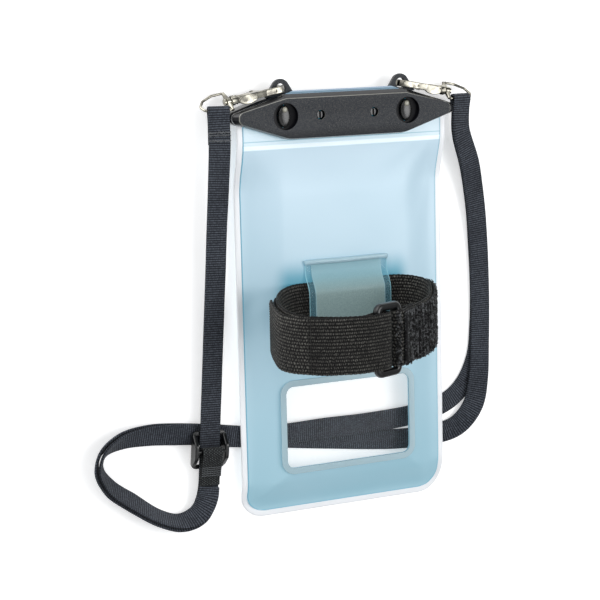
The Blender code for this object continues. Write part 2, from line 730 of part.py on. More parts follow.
def makeHook(sideName, sign):
    body = standing("hook_" + sideName, hookOutline, hookThick, nickel, edge=0.35 * mm)
    combine(body, cylinder(collar, collarLong, (hookEnd - collarLong / 2, 0, 0), axis="X", sides=20), "UNION")
    slotX, slotTop = 13.75 * mm, -0.6 * mm
    combine(body, box((9.5 * mm, hookSlot, 6 * mm), (slotX, 0, slotTop - 3 * mm)), "DIFFERENCE")
    combine(body, cylinder(gateHole, 3 * hookThick, (gatePinX, 0, gatePinZ), axis="Y", sides=16), "DIFFERENCE")
    combine(body, cylinder(studShaft + 2 * fit, 2 * studDeep, (hookEnd, 0, 0), axis="X", sides=16), "DIFFERENCE")
    leaf = cylinder(5 * mm, 0.9 * mm, (17.5 * mm, 0.2 * mm, 3.4 * mm))
    leaf.data.transform(Matrix.Diagonal((2.1, 1, 1, 1)))
    combine(body, leaf, "UNION")

    gate = standing("gate_" + sideName, gateOutline, gateThick, nickel, edge=0.25 * mm)
    combine(gate, cylinder(gateHole, 3 * hookThick, (gatePinX, 0, gatePinZ), axis="Y", sides=16), "DIFFERENCE")
    combine(gate, cylinder(1.5 * mm, gateThick + 0.8 * mm, (18.2 * mm, 0, -4.5 * mm), axis="Y", sides=16), "UNION")

    pin = cylinder(gatePin, hookThick, (gatePinX, 0, gatePinZ), "gate_pin_" + sideName, nickel, caseParts, "Y", 12)
    springLow, springHigh = gateTop + 0.1 * mm + springWire / 2, slotTop - 0.1 * mm - springWire / 2
    coil = []
    for i in range(springSteps + 1):
        angle = 2 * pi * springTurns * i / springSteps
        coil.append((springX + springRadius * cos(angle), springRadius * sin(angle),
                     springLow + (springHigh - springLow) * i / springSteps))
    spring = wire("gate_spring_" + sideName, coil, springWire / 2, nickel, resolution=1)

    studStart = hookEnd - studDeep + 0.3 * mm
    headStart = hookReach + ringBossLong / 2 + fit
    shaftLong = headStart - studStart + 0.1 * mm
    stud = cylinder(studShaft, shaftLong, (studStart + shaftLong / 2, 0, 0), "swivel_stud_" + sideName, nickel,
                    caseParts, "X", 16)
    combine(stud, cylinder(studHead, studHeadThick, (headStart + studHeadThick / 2, 0, 0), axis="X", sides=16),
            "UNION")

    # The ring has a straight bar with a boss for the stud, a straight seat for the strap and a round far side.
    seatEnd = (ringDeep - 1.2 * mm, ringHalfBar - seatSlope * (ringDeep - 1.2 * mm))
    corners = [(0, -ringHalfBar), (0, ringHalfBar), seatEnd, (ringDeep, -0.5 * mm), (ringDeep * 0.82, -3.6 * mm),
               (ringDeep * 0.45, -ringHalfBar)]
    ring = wire("lanyard_ring_" + sideName, [(p.x, p.y, 0) for p in corner(corners, 0.9 * mm, 3)], ringWire, nickel,
                closed=True)
    ring.data.transform(ringPlane)
    combine(ring, cylinder(ringBoss, ringBossLong, (hookReach, 0, 0), axis="X", sides=20), "UNION")
    combine(ring, cylinder(studShaft + 2 * fit, 8 * mm, (hookReach, 0, 0), axis="X", sides=16), "DIFFERENCE")

    bpy.context.view_layer.update()
    onAxis = Vector((0, 0, 0))
    onPin = Vector((gatePinX, 0, gatePinZ))
    for thing, pivot in ((body, onAxis), (gate, onPin), (pin, onPin), (spring, onAxis), (stud, onAxis),
                         (ring, onAxis)):
        placed(thing, sign, pivot)


makeHook("left", -1)
makeHook("right", 1)


# Lanyard: a strap sewn round the left ring, through the slider, round under the case and over the right ring, and
# back to the slider. It is two nodes, which meet over the right ring.

def seatOf(sign):
    # The middle of the ring's seat, the direction along it, the strap's way down from it and its upper side.
    frame = hookFrame(-1) @ ringPlane
    middleP = ringDeep / 2 - 0.2 * mm
    middle = frame @ Vector((middleP, ringHalfBar - seatSlope * middleP, 0))
    seat = (frame.to_3x3() @ Vector((-1, seatSlope, 0))).normalized()
    down = Vector((0, -1, 0))
    down = (down - seat * down.dot(seat)).normalized()
    upper = seat.cross(down) if seat.cross(down).z > 0 else down.cross(seat)
    mirror = Vector((-sign, 1, 1))
    return [vector * mirror for vector in (middle, seat, down, upper)]


def foldOver(sign, longTail, turns):
    # Control points from the lower layer, round the seat, to the upper layer.
    middle, seat, down, upper = seatOf(sign)
    radius = ringWire + fit + strapThick / 2 + 0.05 * mm
    side = seat * -sign
    controls = [(middle + down * longTail - upper * layerStep / 2, side),
                (middle + down * (5 * mm) - upper * layerStep / 2, side)]
    for degrees in turns:
        bend = upper * cos(radians(degrees)) + down * sin(radians(degrees))
        controls.append((middle - bend * radius, side))
    controls.append((middle + down * (5 * mm) + upper * layerStep / 2, side))
    controls.append((middle + down * longTail + upper * layerStep / 2, side))
    return controls


def floorControls(rows):
    # Each row has x, y and z in millimetres and the strap's lean in degrees, left edge up.
    points = [Vector((x, y, z)) * mm for x, y, z, lean in rows]
    controls = []
    for i, (point, row) in enumerate(zip(points, rows)):
        forward = points[min(i + 1, len(points) - 1)] - points[max(i - 1, 0)]
        left = Vector((-forward.y, forward.x, 0)).normalized()
        lean = radians(row[3])
        controls.append((point, left * cos(lean) + Vector((0, 0, sin(lean)))))
    return controls


def lifted(controls):
    # Moves control points to the strap's upper side, further where it leans.
    moved = []
    for i, (point, side) in enumerate(controls):
        forward = controls[min(i + 1, len(controls) - 1)][0] - controls[max(i - 1, 0)][0]
        step = looseStep if abs(side.z) > 0.05 else layerStep
        moved.append((point + forward.cross(side).normalized() * step, side))
    return moved


def strap(name, controls, steps=3):
    route = smoothRoute([point for point, side in controls], steps)
    sides = [first[1].lerp(second[1], i / steps) for first, second in zip(controls, controls[1:])
             for i in range(steps)] + [controls[-1][1]]
    return ribbon(name, route, sides, strapWidth, strapThick, blackWeb)


leftFold = foldOver(-1, 15 * mm, (0, 45, 90, 135, 180))
sliderPlace = Vector((-68.4 * mm, sliderY, sliderStrapZ))
lineTop = leftFold[-1][0]
lineWay = (lineTop - sliderPlace).normalized()
lineSide = (Vector((1, 0, 0)) - lineWay * lineWay.x).normalized()
stubLong = 16 * mm
lineControls = [(lineTop.lerp(sliderPlace, share), lineSide) for share in (0.25, 0.5, 0.75, 1)]
lineControls.append((sliderPlace - lineWay * stubLong, lineSide))
loopControls = floorControls([
    (-70.2, -87.0, 4.4, 12), (-74.5, -94.2, 4.9, 42), (-83.5, -97.0, 5.3, 62), (-94, -93.3, 5.0, 60),
    (-106.5, -84.3, 4.6, 50), (-116.8, -76, 4.9, 54), (-121.6, -67.3, 5.1, 64), (-119.3, -59.2, 5.0, 62),
    (-110.5, -54.8, 3.9, 40), (-97, -54.2, 2.4, 18), (-83, -56, 1.0, 4), (-68, -58.2, 0.75, 0),
    (-52, -61.2, 0.75, 0)])
outerUnder = floorControls([
    (-30, -64.5, 0.75, 0), (0, -69, 0.75, 0), (28, -72.6, 0.75, 0), (49, -73, 0.9, -4), (60.5, -69.6, 3.2, -26),
    (68.5, -60.5, 4.8, -32), (72.6, -48, 3.6, -12), (74.4, -30, 2.4, -2), (74.8, -5, 2.2, 0), (73.6, 20, 3.0, 0),
    (71.2, 38, 4.8, 0), (66.6, 57, 8.0, 0)])
innerUnder = floorControls([
    (66.6, 57, 6.2, 0), (71.2, 38, 3.2, 0), (73.6, 20, 1.4, 0), (74.8, -5, 0.8, 0), (74.4, -22, 0.75, 0),
    (72.8, -36, 0.75, 0), (67.5, -48, 0.75, 0), (59.5, -56, 0.75, 0), (47, -60.8, 0.75, 0), (36, -62, 1.1, 0),
    (25, -62.4, 2.1, 0), (8, -62.6, 2.1, 0), (-12, -62.4, 2.1, 0), (-34, -62.6, 2.1, 0)])

# The outer strap ends on top of the right ring's fold, where the inner one starts with a hair's gap.
rightFold = foldOver(1, 15 * mm, (0, 36, 72, 90, 135, 180))
outerControls = leftFold + lineControls + loopControls + outerUnder
outerControls += [(point, side * -1) for point, side in rightFold[:4:-1]]
strap("lanyard_outer", outerControls)

innerLoop = lifted(lineControls[-1:] + loopControls)[1:]
innerEnd = sliderPlace - lineWay * (stubLong + 0.8 * mm) + lineSide.cross(lineWay) * (layerStep + 0.2 * mm)
innerControls = rightFold[4::-1] + innerUnder
innerControls += [(point, side * -1) for point, side in innerLoop[::-1]]
innerControls.append((innerEnd, lineSide * -1))
strap("lanyard_inner", innerControls)

# Slider: two arched rails, two end bars under the strap and a middle bar over it
sliderUp = lineSide.cross(lineWay)
sliderFrame = Matrix((lineSide, lineWay, sliderUp)).transposed().to_4x4()
sliderFrame.translation = sliderPlace
barTop = -strapThick / 2 - fit
railLow = barTop - sliderBar
middleBar = 1.6 * mm
middleZ = strapThick * 1.5 + 2 * fit + middleBar / 2
railHigh = middleZ + middleBar / 2
halfLength = sliderLength / 2
railOutline = [(-halfLength, railLow), (halfLength, railLow), (halfLength, barTop + 0.3 * mm), (3 * mm, railHigh),
               (-3 * mm, railHigh), (-halfLength, barTop + 0.3 * mm)]
slider = None
for sideSign in (-1, 1):
    rail = plate("lanyard_slider", [[Vector(point) for point in railOutline]], -sliderRail / 2, sliderRail,
                 blackPlastic, edge=0.3 * mm)
    rail.data.transform(Matrix.Rotation(pi / 2, 4, "Z") @ Matrix.Rotation(pi / 2, 4, "X"))
    rail.data.transform(Matrix.Translation((sideSign * (sliderWidth - sliderRail) / 2, 0, 0)))
    if slider is None:
        slider = rail
        continue
    caseParts.objects.unlink(rail)
    cutters.objects.link(rail)
    rail.hide_render = True
    rail.display_type = "WIRE"
    combine(slider, rail, "UNION")
inside = sliderWidth - sliderRail
for end in (-1, 1):
    endBar = box((inside, 1.8 * mm, sliderBar), (0, end * (halfLength - 0.9 * mm), barTop - sliderBar / 2),
                 edge=0.3 * mm)
    combine(slider, endBar, "UNION")
combine(slider, cylinder(middleBar, inside, (0, 0, middleZ), axis="X", sides=16), "UNION")
bpy.context.view_layer.update()
slider = settled(slider, "lanyard_slider", blackPlastic)
slider.matrix_world = sliderFrame
smooth(slider)

# The sewn end: it comes up the strap, turns over the slider's middle bar and is stitched down on itself.
wrap = middleBar / 2 + fit + strapThick / 2
stub = [(-stubLong, layerStep), (-9 * mm, layerStep), (-3 * mm, middleZ - wrap)]
stub += arc((0, middleZ), wrap, -90, 90, 4)
stub += [(-4 * mm, middleZ + wrap - 0.5 * mm), (-8 * mm, 2 * layerStep + 0.25 * mm), (-11.5 * mm, 2 * layerStep)]
stubRoute = [sliderPlace + lineWay * p.x + sliderUp * p.y
             for p in smoothRoute([(a, b, 0) for a, b in stub], 3)]
ribbon("lanyard_sewn_end", stubRoute, [lineSide] * len(stubRoute), strapWidth, strapThick, blackWeb)
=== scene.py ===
# Waterproof phone case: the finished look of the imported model.
# Lengths are in metres, and mm turns the sizes below into metres. The case lies on its front, its clamp at +Y.
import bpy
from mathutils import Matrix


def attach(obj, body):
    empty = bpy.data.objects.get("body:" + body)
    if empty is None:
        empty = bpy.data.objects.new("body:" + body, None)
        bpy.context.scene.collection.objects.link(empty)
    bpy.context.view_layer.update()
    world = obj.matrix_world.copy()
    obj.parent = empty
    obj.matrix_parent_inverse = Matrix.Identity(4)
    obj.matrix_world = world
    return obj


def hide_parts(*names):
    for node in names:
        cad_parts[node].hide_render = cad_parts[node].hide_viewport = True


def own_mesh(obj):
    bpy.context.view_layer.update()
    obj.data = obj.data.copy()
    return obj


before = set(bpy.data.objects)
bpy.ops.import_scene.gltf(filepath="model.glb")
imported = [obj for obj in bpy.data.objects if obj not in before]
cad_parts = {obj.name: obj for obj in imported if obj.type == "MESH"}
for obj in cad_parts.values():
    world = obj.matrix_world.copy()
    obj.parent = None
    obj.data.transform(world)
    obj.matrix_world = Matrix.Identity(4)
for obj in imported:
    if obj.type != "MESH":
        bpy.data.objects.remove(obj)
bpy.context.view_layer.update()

from math import atan2, cos, hypot, pi, radians, sin, sqrt
import bmesh
import bpy
from mathutils import Matrix, Vector, noise

mm = 0.001
scene = bpy.context.scene
scene.view_settings.view_transform = "Standard"
finished = bpy.data.collections.new("finishedCase")
scene.collection.children.link(finished)


# Small helpers for node trees and meshes

def put(tree, kind, inputs=None, **settings):
    made = tree.nodes.new(kind)
    for label, value in settings.items():
        setattr(made, label, value)
    for key, value in (inputs or {}).items():
        if isinstance(value, bpy.types.NodeSocket):
            tree.links.new(value, made.inputs[key])
        else:
            made.inputs[key].default_value = value
    return made


def treeOf(*values):
    # The node tree that the sockets among the values belong to.
    return next(value.id_data for value in values if isinstance(value, bpy.types.NodeSocket))


def link(value, socket):
    socket.id_data.links.new(value, socket)


def calc(operation, *values):
    return put(treeOf(*values), "ShaderNodeMath", dict(enumerate(values)), operation=operation).outputs[0]


def ramp(value, low, high, start=0.0, end=1.0):
    # low to high becomes start to end.
    return put(value.id_data, "ShaderNodeMapRange", {0: value, 1: low, 2: high, 3: start, 4: end}).outputs[0]


def within(value, low, high, soft):
    # 1 where value is between low and high, with soft edges.
    return calc("SUBTRACT", ramp(value, low - soft, low + soft), ramp(value, high - soft, high + soft))


def noisy(space, scale, detail=2.0, output=0):
    inputs = {"Vector": space, "Scale": scale, "Detail": detail}
    return put(space.id_data, "ShaderNodeTexNoise", inputs).outputs[output]


def objectSpace(tree):
    return put(tree, "ShaderNodeTexCoord").outputs["Object"]


def stripSpace(tree):
    return put(tree, "ShaderNodeUVMap", uv_map="strip").outputs[0]


def split(vector):
    return put(vector.id_data, "ShaderNodeSeparateXYZ", {0: vector}).outputs


def attribute(tree, name):
    return put(tree, "ShaderNodeAttribute", attribute_name=name).outputs["Fac"]


def mix(factor, low, high):
    return put(factor.id_data, "ShaderNodeMix", {0: factor, 6: low, 7: high}, data_type="RGBA").outputs[2]


def rgb(red, green, blue):
    # A colour of 0 to 255 as the shader wants it.
    return tuple(((c / 255 + 0.055) / 1.055) ** 2.4 if c > 10 else c / 255 / 12.92 for c in (red, green, blue)) + (1,)


def openTree(kind, name, inputs, outputs):
    # A node group with its sockets, each a label, a kind and, for some, a value.
    tree = bpy.data.node_groups.new(name, kind + "NodeTree")
    for way, sockets in (("INPUT", inputs), ("OUTPUT", outputs)):
        for label, socketKind, *value in sockets:
            socket = tree.interface.new_socket(name=label, in_out=way, socket_type="NodeSocket" + socketKind)
            if value:
                socket.default_value = value[0]
    return tree, put(tree, "NodeGroupInput").outputs, put(tree, "NodeGroupOutput").inputs


def addGroup(group, **inputs):
    return put(treeOf(*inputs.values()), "ShaderNodeGroup", inputs, node_tree=group).outputs


def startMaterial(name, color, roughness, **sockets):
    material = bpy.data.materials.new(name)
    material.use_nodes = True
    tree = material.node_tree
    shader = tree.nodes["Principled BSDF"]
    shader.inputs["Base Color"].default_value = color
    shader.inputs["Roughness"].default_value = roughness
    for label, value in sockets.items():
        shader.inputs[label.replace("_", " ")].default_value = value
    material.diffuse_color = color
    return material, tree, shader.inputs


def addBump(sockets, height, strength, distance):
    bump = put(height.id_data, "ShaderNodeBump", {"Strength": strength, "Distance": distance, "Height": height})
    link(bump.outputs[0], sockets["Normal"])


def smoothRoute(points, steps):
    # A curve through the given points that doesn't swing out where their spacing changes.
    points = [Vector(point) for point in points]
    points = [points[0] * 2 - points[1]] + points + [points[-1] * 2 - points[-2]]
    route = []
    for a, b, c, d in zip(points, points[1:], points[2:], points[3:]):
        first, second, third = sqrt((b - a).length), sqrt((c - b).length), sqrt((d - c).length)
        leave = (c - b) + ((b - a) / first - (c - a) / (first + second)) * second
        arrive = (c - b) + ((d - c) / third - (d - b) / (second + third)) * second
        for j in range(steps):
            t = j / steps
            route.append(b * (2 * t ** 3 - 3 * t ** 2 + 1) + leave * (t ** 3 - 2 * t ** 2 + t)
                         + c * (3 * t ** 2 - 2 * t ** 3) + arrive * (t ** 3 - t ** 2))
    return route + [points[-2]]


def evenRoute(route, sides, spacing):
    # The same route with its points at an even spacing.
    lengths = [0]
    for a, b in zip(route, route[1:]):
        lengths.append(lengths[-1] + (b - a).length)
    count = max(2, round(lengths[-1] / spacing))
    points, newSides, k = [], [], 0
    for i in range(count + 1):
        want = lengths[-1] * i / count
        while k < len(route) - 2 and lengths[k + 1] < want:
            k += 1
        t = (want - lengths[k]) / (lengths[k + 1] - lengths[k])
        points.append(route[k].lerp(route[k + 1], t))
        newSides.append(sides[k].lerp(sides[k + 1], t))
    return points, newSides


def routeFrames(route, sides):
    # Each point of a route with its directions across the strip, up from it and forward.
    frames = []
    for i, (point, side) in enumerate(zip(route, sides)):
        forward = (route[min(i + 1, len(route) - 1)] - route[max(i - 1, 0)]).normalized()
        across = (side - forward * side.dot(forward)).normalized()
        frames.append((point, across, across.cross(forward), forward))
    return frames


def routeLength(route):
    return sum((b - a).length for a, b in zip(route, route[1:]))


def closedRoute(outline, z=0):
    # A closed outline as a route that ends where it starts, with the directions across it.
    route = [Vector((p.x, p.y, z)) for p in outline]
    last = len(route)
    route.append(route[0])
    ways = [(route[(i + 1) % last] - route[i - 1 if i else last - 1]).normalized() for i in range(last + 1)]
    return route, [Vector((-way.y, way.x, 0)) for way in ways]


def meshFrom(build, name="shape"):
    mesh = bpy.data.meshes.new(name)
    work = bmesh.new()
    build(work)
    bmesh.ops.recalc_face_normals(work, faces=work.faces)
    work.to_mesh(mesh)
    work.free()
    return mesh


def joinRows(work, rows, closed=True):
    # Faces between neighbouring rows of vertices.
    count = len(rows[0])
    return [work.faces.new((a[k], a[(k + 1) % count], b[(k + 1) % count], b[k]))
            for a, b in zip(rows, rows[1:]) for k in range(count if closed else count - 1)]


def sweep(name, route, sides, profile, warp=None, ends=True):
    # Sweeps a closed profile of (across, up) along a route. Its UV map holds millimetres: across, and along.
    def build(work):
        strip = work.loops.layers.uv.new("strip")
        rings, along, last, places = [], 0, route[0], {}
        for point, across, up, forward in routeFrames(route, sides):
            along += (point - last).length
            last = point
            shifted = [warp(along, a, b) if warp else (a, b) for a, b in profile]
            rings.append([work.verts.new(point + across * a + up * b) for a, b in shifted])
            places.update({vertex: (a / mm, along / mm) for vertex, (a, b) in zip(rings[-1], profile)})
        faces = joinRows(work, rings)
        if ends:
            faces += [work.faces.new(rings[0][::-1]), work.faces.new(rings[-1])]
        for face in faces:
            face.smooth = True
            for loop in face.loops:
                loop[strip].uv = places[loop.vert]
    return meshFrom(build, name)


def bandProfile(width, thickness, edgeSteps=3, count=8):
    # A flat band's outline with round edges.
    half, radius = width / 2, thickness / 2
    top = [(-half + radius + (width - thickness) * i / count, radius) for i in range(count + 1)]
    right = [(half - radius + radius * sin(pi * i / (edgeSteps + 1)), radius * cos(pi * i / (edgeSteps + 1)))
             for i in range(1, edgeSteps + 1)]
    return top + right + [(-a, -b) for a, b in top] + [(-a, -b) for a, b in right]


def place(name, mesh, material, slotName, body, *nodes):
    # Adds a finished piece to the case: its finish, the body it rides on and the solids it stands for. slotName is not
    # used.
    piece = bpy.data.objects.new(name, mesh)
    finished.objects.link(piece)
    mesh.materials.clear()
    mesh.materials.append(material)
    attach(piece, body)
    if nodes:
        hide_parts(*nodes)
    return piece


def scratch(name, data):
    thing = bpy.data.objects.new(name, data)
    scene.collection.objects.link(thing)
    return thing


def bake(thing):
    # The evaluated mesh of a scratch object, in the case's own frame. The object is removed.
    bpy.context.view_layer.update()
    mesh = bpy.data.meshes.new_from_object(thing.evaluated_get(bpy.context.evaluated_depsgraph_get()))
    mesh.transform(thing.matrix_world)
    bpy.data.objects.remove(thing)
    return mesh


def shade(mesh, angle=35):
    mesh.shade_smooth()
    mesh.set_sharp_from_angle(angle=radians(angle))
    return mesh


def corner(points, radius, steps=6):
    # Rounds each corner of a closed outline with an arc. radius is one size, or a list with one for each corner.
    outline, radii = [], radius if isinstance(radius, list) else [radius] * len(points)
    for i, (point, radius) in enumerate(zip(points, radii)):
        here = Vector(point)
        before = (Vector(points[i - 1]) - here).normalized()
        after = (Vector(points[(i + 1) % len(points)]) - here).normalized()
        half = before.angle(after) / 2
        centre = here + (before + after).normalized() * (radius / sin(half))
        start = here + before * (radius * cos(half) / sin(half)) - centre
        end = here + after * (radius * cos(half) / sin(half)) - centre
        outline += [centre + start.lerp(end, j / steps).normalized() * radius for j in range(steps + 1)]
    return outline


def rectangle(width, height, x=0, y=0):
    return [(x - width / 2, y - height / 2), (x + width / 2, y - height / 2),
            (x + width / 2, y + height / 2), (x - width / 2, y + height / 2)]


def box(width, height, radius, x=0, y=0, steps=6):
    return corner(rectangle(width, height, x, y), radius, steps)


def ring(radius, x, y, stretch=1, steps=40):
    return [Vector((x + radius * cos(2 * pi * i / steps), y + radius * stretch * sin(2 * pi * i / steps)))
            for i in range(steps)]


def curveThrough(kind, lines, closed, edge, roundness):
    # A curve object's data, straight from point to point, with a round edge.
    curve = bpy.data.curves.new("line", "CURVE")
    curve.dimensions = kind
    curve.bevel_depth = edge
    curve.bevel_resolution = roundness
    for line in lines:
        spline = curve.splines.new("POLY")
        spline.points.add(len(line) - 1)
        for target, point in zip(spline.points, line):
            # A flat outline's points lie at height 0.
            target.co = (*point, 0)[:3] + (1,)
        spline.use_cyclic_u = closed
    return curve


def plate(outlines, bottom, thickness, edge=0, roundness=2):
    # A flat piece with rolled edges as a mesh: the first outline is its edge and the others are holes.
    curve = curveThrough("2D", outlines, True, edge, roundness)
    curve.fill_mode = "BOTH"
    curve.extrude = thickness / 2 - edge
    curve.offset = -edge
    thing = scratch("plate", curve)
    thing.location.z = bottom + thickness / 2
    return bake(thing)


def drill(radius, x, y, bottom, height, stretch=1, steps=40):
    return plate([ring(radius, x, y, stretch, steps)], bottom, height)


def welded(mesh):
    work = bmesh.new()
    work.from_mesh(mesh)
    bmesh.ops.remove_doubles(work, verts=work.verts, dist=0.000005)
    bmesh.ops.recalc_face_normals(work, faces=work.faces)
    work.to_mesh(mesh)
    work.free()
    return mesh


def cutAndJoin(base, cuts=(), joins=()):
    # Exact booleans, one after another.
    thing = scratch("base", welded(base))
    tools = []
    for meshes, operation in ((joins, "UNION"), (cuts, "DIFFERENCE")):
        for mesh in meshes:
            tool = scratch("tool", welded(mesh))
            tools.append(tool)
            modifier = thing.modifiers.new("step", "BOOLEAN")
            modifier.object = tool
            modifier.operation = operation
            modifier.solver = "EXACT"
    mesh = bake(thing)
    for tool in tools:
        bpy.data.objects.remove(tool)
    return welded(mesh)


def softened(mesh, width, segments=2, angle=35):
    # Rounds the edges of a hard piece.
    thing = scratch("hard", mesh)
    bevel = thing.modifiers.new("edge", "BEVEL")
    bevel.width = width
    bevel.segments = segments
    bevel.limit_method = "ANGLE"
    bevel.angle_limit = radians(angle)
    return bake(thing)


def tube(points, radius, closed=False, resolution=4):
    curve = curveThrough("3D", [points], closed, radius, resolution)
    curve.use_fill_caps = not closed
    return welded(bake(scratch("tube", curve)))


def turned(profile, matrix, sides=32):
    # A turned shape about local Z: profile holds (along, radius) pairs in millimetres.
    def build(work):
        rows = [[work.verts.new(matrix @ Vector((r * mm * cos(2 * pi * k / sides), r * mm * sin(2 * pi * k / sides),
                                                 z * mm))) for k in range(sides)] for z, r in profile]
        joinRows(work, rows)
        work.faces.new(rows[0])
        work.faces.new(rows[-1])
    return meshFrom(build)


def merged(meshes):
    work = bmesh.new()
    for mesh in meshes:
        work.from_mesh(mesh)
    result = bpy.data.meshes.new("merged")
    work.to_mesh(result)
    work.free()
    return result


# Camera: it looks down on the lying case at the angle that the photograph has to it

viewSettings = {"yaw": 0.44725, "pitch": 0.16840, "roll": 0.02122, "distance": 857.9 * mm, "lens": 111.0,
                "shiftX": -0.0629, "shiftY": -0.0106}


def addCamera(s):
    turn = Matrix.Rotation(s["roll"], 3, "Z") @ Matrix.Rotation(s["pitch"], 3, "X") @ Matrix.Rotation(s["yaw"], 3, "Y")
    data = bpy.data.cameras.new("viewCamera")
    data.lens = s["lens"]
    data.sensor_width = 36
    data.shift_x = s["shiftX"]
    data.shift_y = s["shiftY"]
    data.clip_start = 0.05
    camera = bpy.data.objects.new("viewCamera", data)
    scene.collection.objects.link(camera)
    camera.matrix_world = turn.transposed().to_4x4()
    camera.location = turn.transposed() @ Vector((0, 0, s["distance"]))
    scene.camera = camera
    return turn.transposed()


photoFrame = addCamera(viewSettings)
print("camera placed")


# Light and floor

lightSettings = {"skyTop": 1.25, "skySide": 0.15, "skyFar": 1.3, "key": 6.8, "keySize": 0.95, "fill": 4.6,
                 "floor": (0.86, 0.86, 0.86, 1), "floorGlow": 0.42}


def addLight(name, direction, distance, size, energy):
    # direction is in the photograph's frame: right, up and towards the camera.
    data = bpy.data.lights.new(name, "AREA")
    data.shape = "DISK"
    data.size = size
    data.energy = energy
    light = scratch(name, data)
    light.location = photoFrame @ (Vector(direction).normalized() * distance)
    light.rotation_euler = light.location.to_track_quat("Z", "Y").to_euler()


def addStage(s):
    # A studio that is bright overhead and dark low down, so that plated parts show dark and bright streaks.
    world = bpy.data.worlds.new("studio")
    scene.world = world
    world.use_nodes = True
    tree = world.node_tree
    around = put(tree, "ShaderNodeTexCoord").outputs["Generated"]
    away, height = split(around)[1:]
    lit = ramp(noisy(around, 2.6, 0.0), 0.42, 0.58, 0.2, 1.1)
    level = ramp(height, 0.2, 0.85, s["skySide"], s["skyTop"])
    tree.nodes["Background"].inputs[0].default_value = (0.97, 0.985, 1, 1)
    far = ramp(away, 0.86, 0.93, 0.0, s["skyFar"])
    link(calc("MULTIPLY_ADD", level, lit, far), tree.nodes["Background"].inputs[1])
    addLight("keyLight", (-0.7, 0.85, 0.85), 0.9, s["keySize"], s["key"])
    addLight("fillLight", (1.0, 0.0, 0.6), 1.0, 0.7, s["fill"])
    floorMesh = meshFrom(lambda work: bmesh.ops.create_grid(work, x_segments=1, y_segments=1, size=4), "studioFloor")
    material, tree, sockets = startMaterial("paleFloor", s["floor"], 0.8, Emission_Color=(1, 1, 1, 1),
                                            Emission_Strength=s["floorGlow"])
    speckle = noisy(objectSpace(tree), 60.0)
    link(mix(speckle, s["floor"], (0.9, 0.9, 0.9, 1)), sockets["Base Color"])
    floorMesh.materials.append(material)
    studioFloor = scratch("studioFloor", floorMesh)


addStage(lightSettings)
print("light and floor placed")


# Shared shader groups

def makeWeaveGroup():
    # Threads that cross: ribs along the strip and picks across it, each row shifted by half a thread.
    group, given, result = openTree("Shader", "threadWeave", [
        ("Strip", "Vector"), ("Pick", "Float", 0.45), ("Rib", "Float", 0.6), ("Shift", "Float", 0.5)],
        [("Height", "Float"), ("Strand", "Float")])
    parts = split(given["Strip"])
    rib = calc("DIVIDE", parts[0], given["Rib"])
    row = calc("FLOOR", rib)
    pick = calc("MULTIPLY_ADD", row, given["Shift"], calc("DIVIDE", parts[1], given["Pick"]))
    waves = []
    for value, power in ((rib, 0.6), (pick, 0.7)):
        wave = calc("ABSOLUTE", calc("SINE", calc("MULTIPLY", value, pi)))
        waves.append(calc("POWER", wave, power))
    height = calc("MULTIPLY", *waves)
    cell = put(group, "ShaderNodeCombineXYZ", {0: row, 1: calc("FLOOR", pick)}).outputs[0]
    strand = put(group, "ShaderNodeTexWhiteNoise", {0: cell}, noise_dimensions="2D").outputs[0]
    link(height, result["Height"])
    link(strand, result["Strand"])
    return group


def makeGrainGroup():
    # Moulded grain: fine pits with slow changes of tone.
    group, given, result = openTree("Shader", "mouldedGrain", [("Vector", "Vector"), ("Pits", "Float", 1400.0)],
                                    [("Height", "Float"), ("Tone", "Float")])
    fine, slow = noisy(given["Vector"], given["Pits"], 3.0), noisy(given["Vector"], 35.0, 4.0)
    cells = put(group, "ShaderNodeTexVoronoi", {"Vector": given["Vector"], "Scale": given["Pits"]}).outputs[0]
    link(calc("ADD", fine, cells), result["Height"])
    link(calc("MULTIPLY", calc("ADD", fine, slow), 0.5), result["Tone"])
    return group


def makeFrostGroup():
    # Frosted soft film: a fine speckle and slow clouds.
    group, given, result = openTree("Shader", "softFrost", [("Vector", "Vector"), ("Speckle", "Float", 2200.0)],
                                    [("Height", "Float"), ("Cloud", "Float")])
    speckle = noisy(given["Vector"], given["Speckle"], 1.0)
    cloud = put(group, "ShaderNodeTexNoise", {"Vector": given["Vector"], "Scale": 16.0, "Detail": 2.0,
                                              "Roughness": 0.4})
    link(speckle, result["Height"])
    link(cloud.outputs[0], result["Cloud"])
    return group


weaveGroup = makeWeaveGroup()
grainGroup = makeGrainGroup()
frostGroup = makeFrostGroup()


# Materials

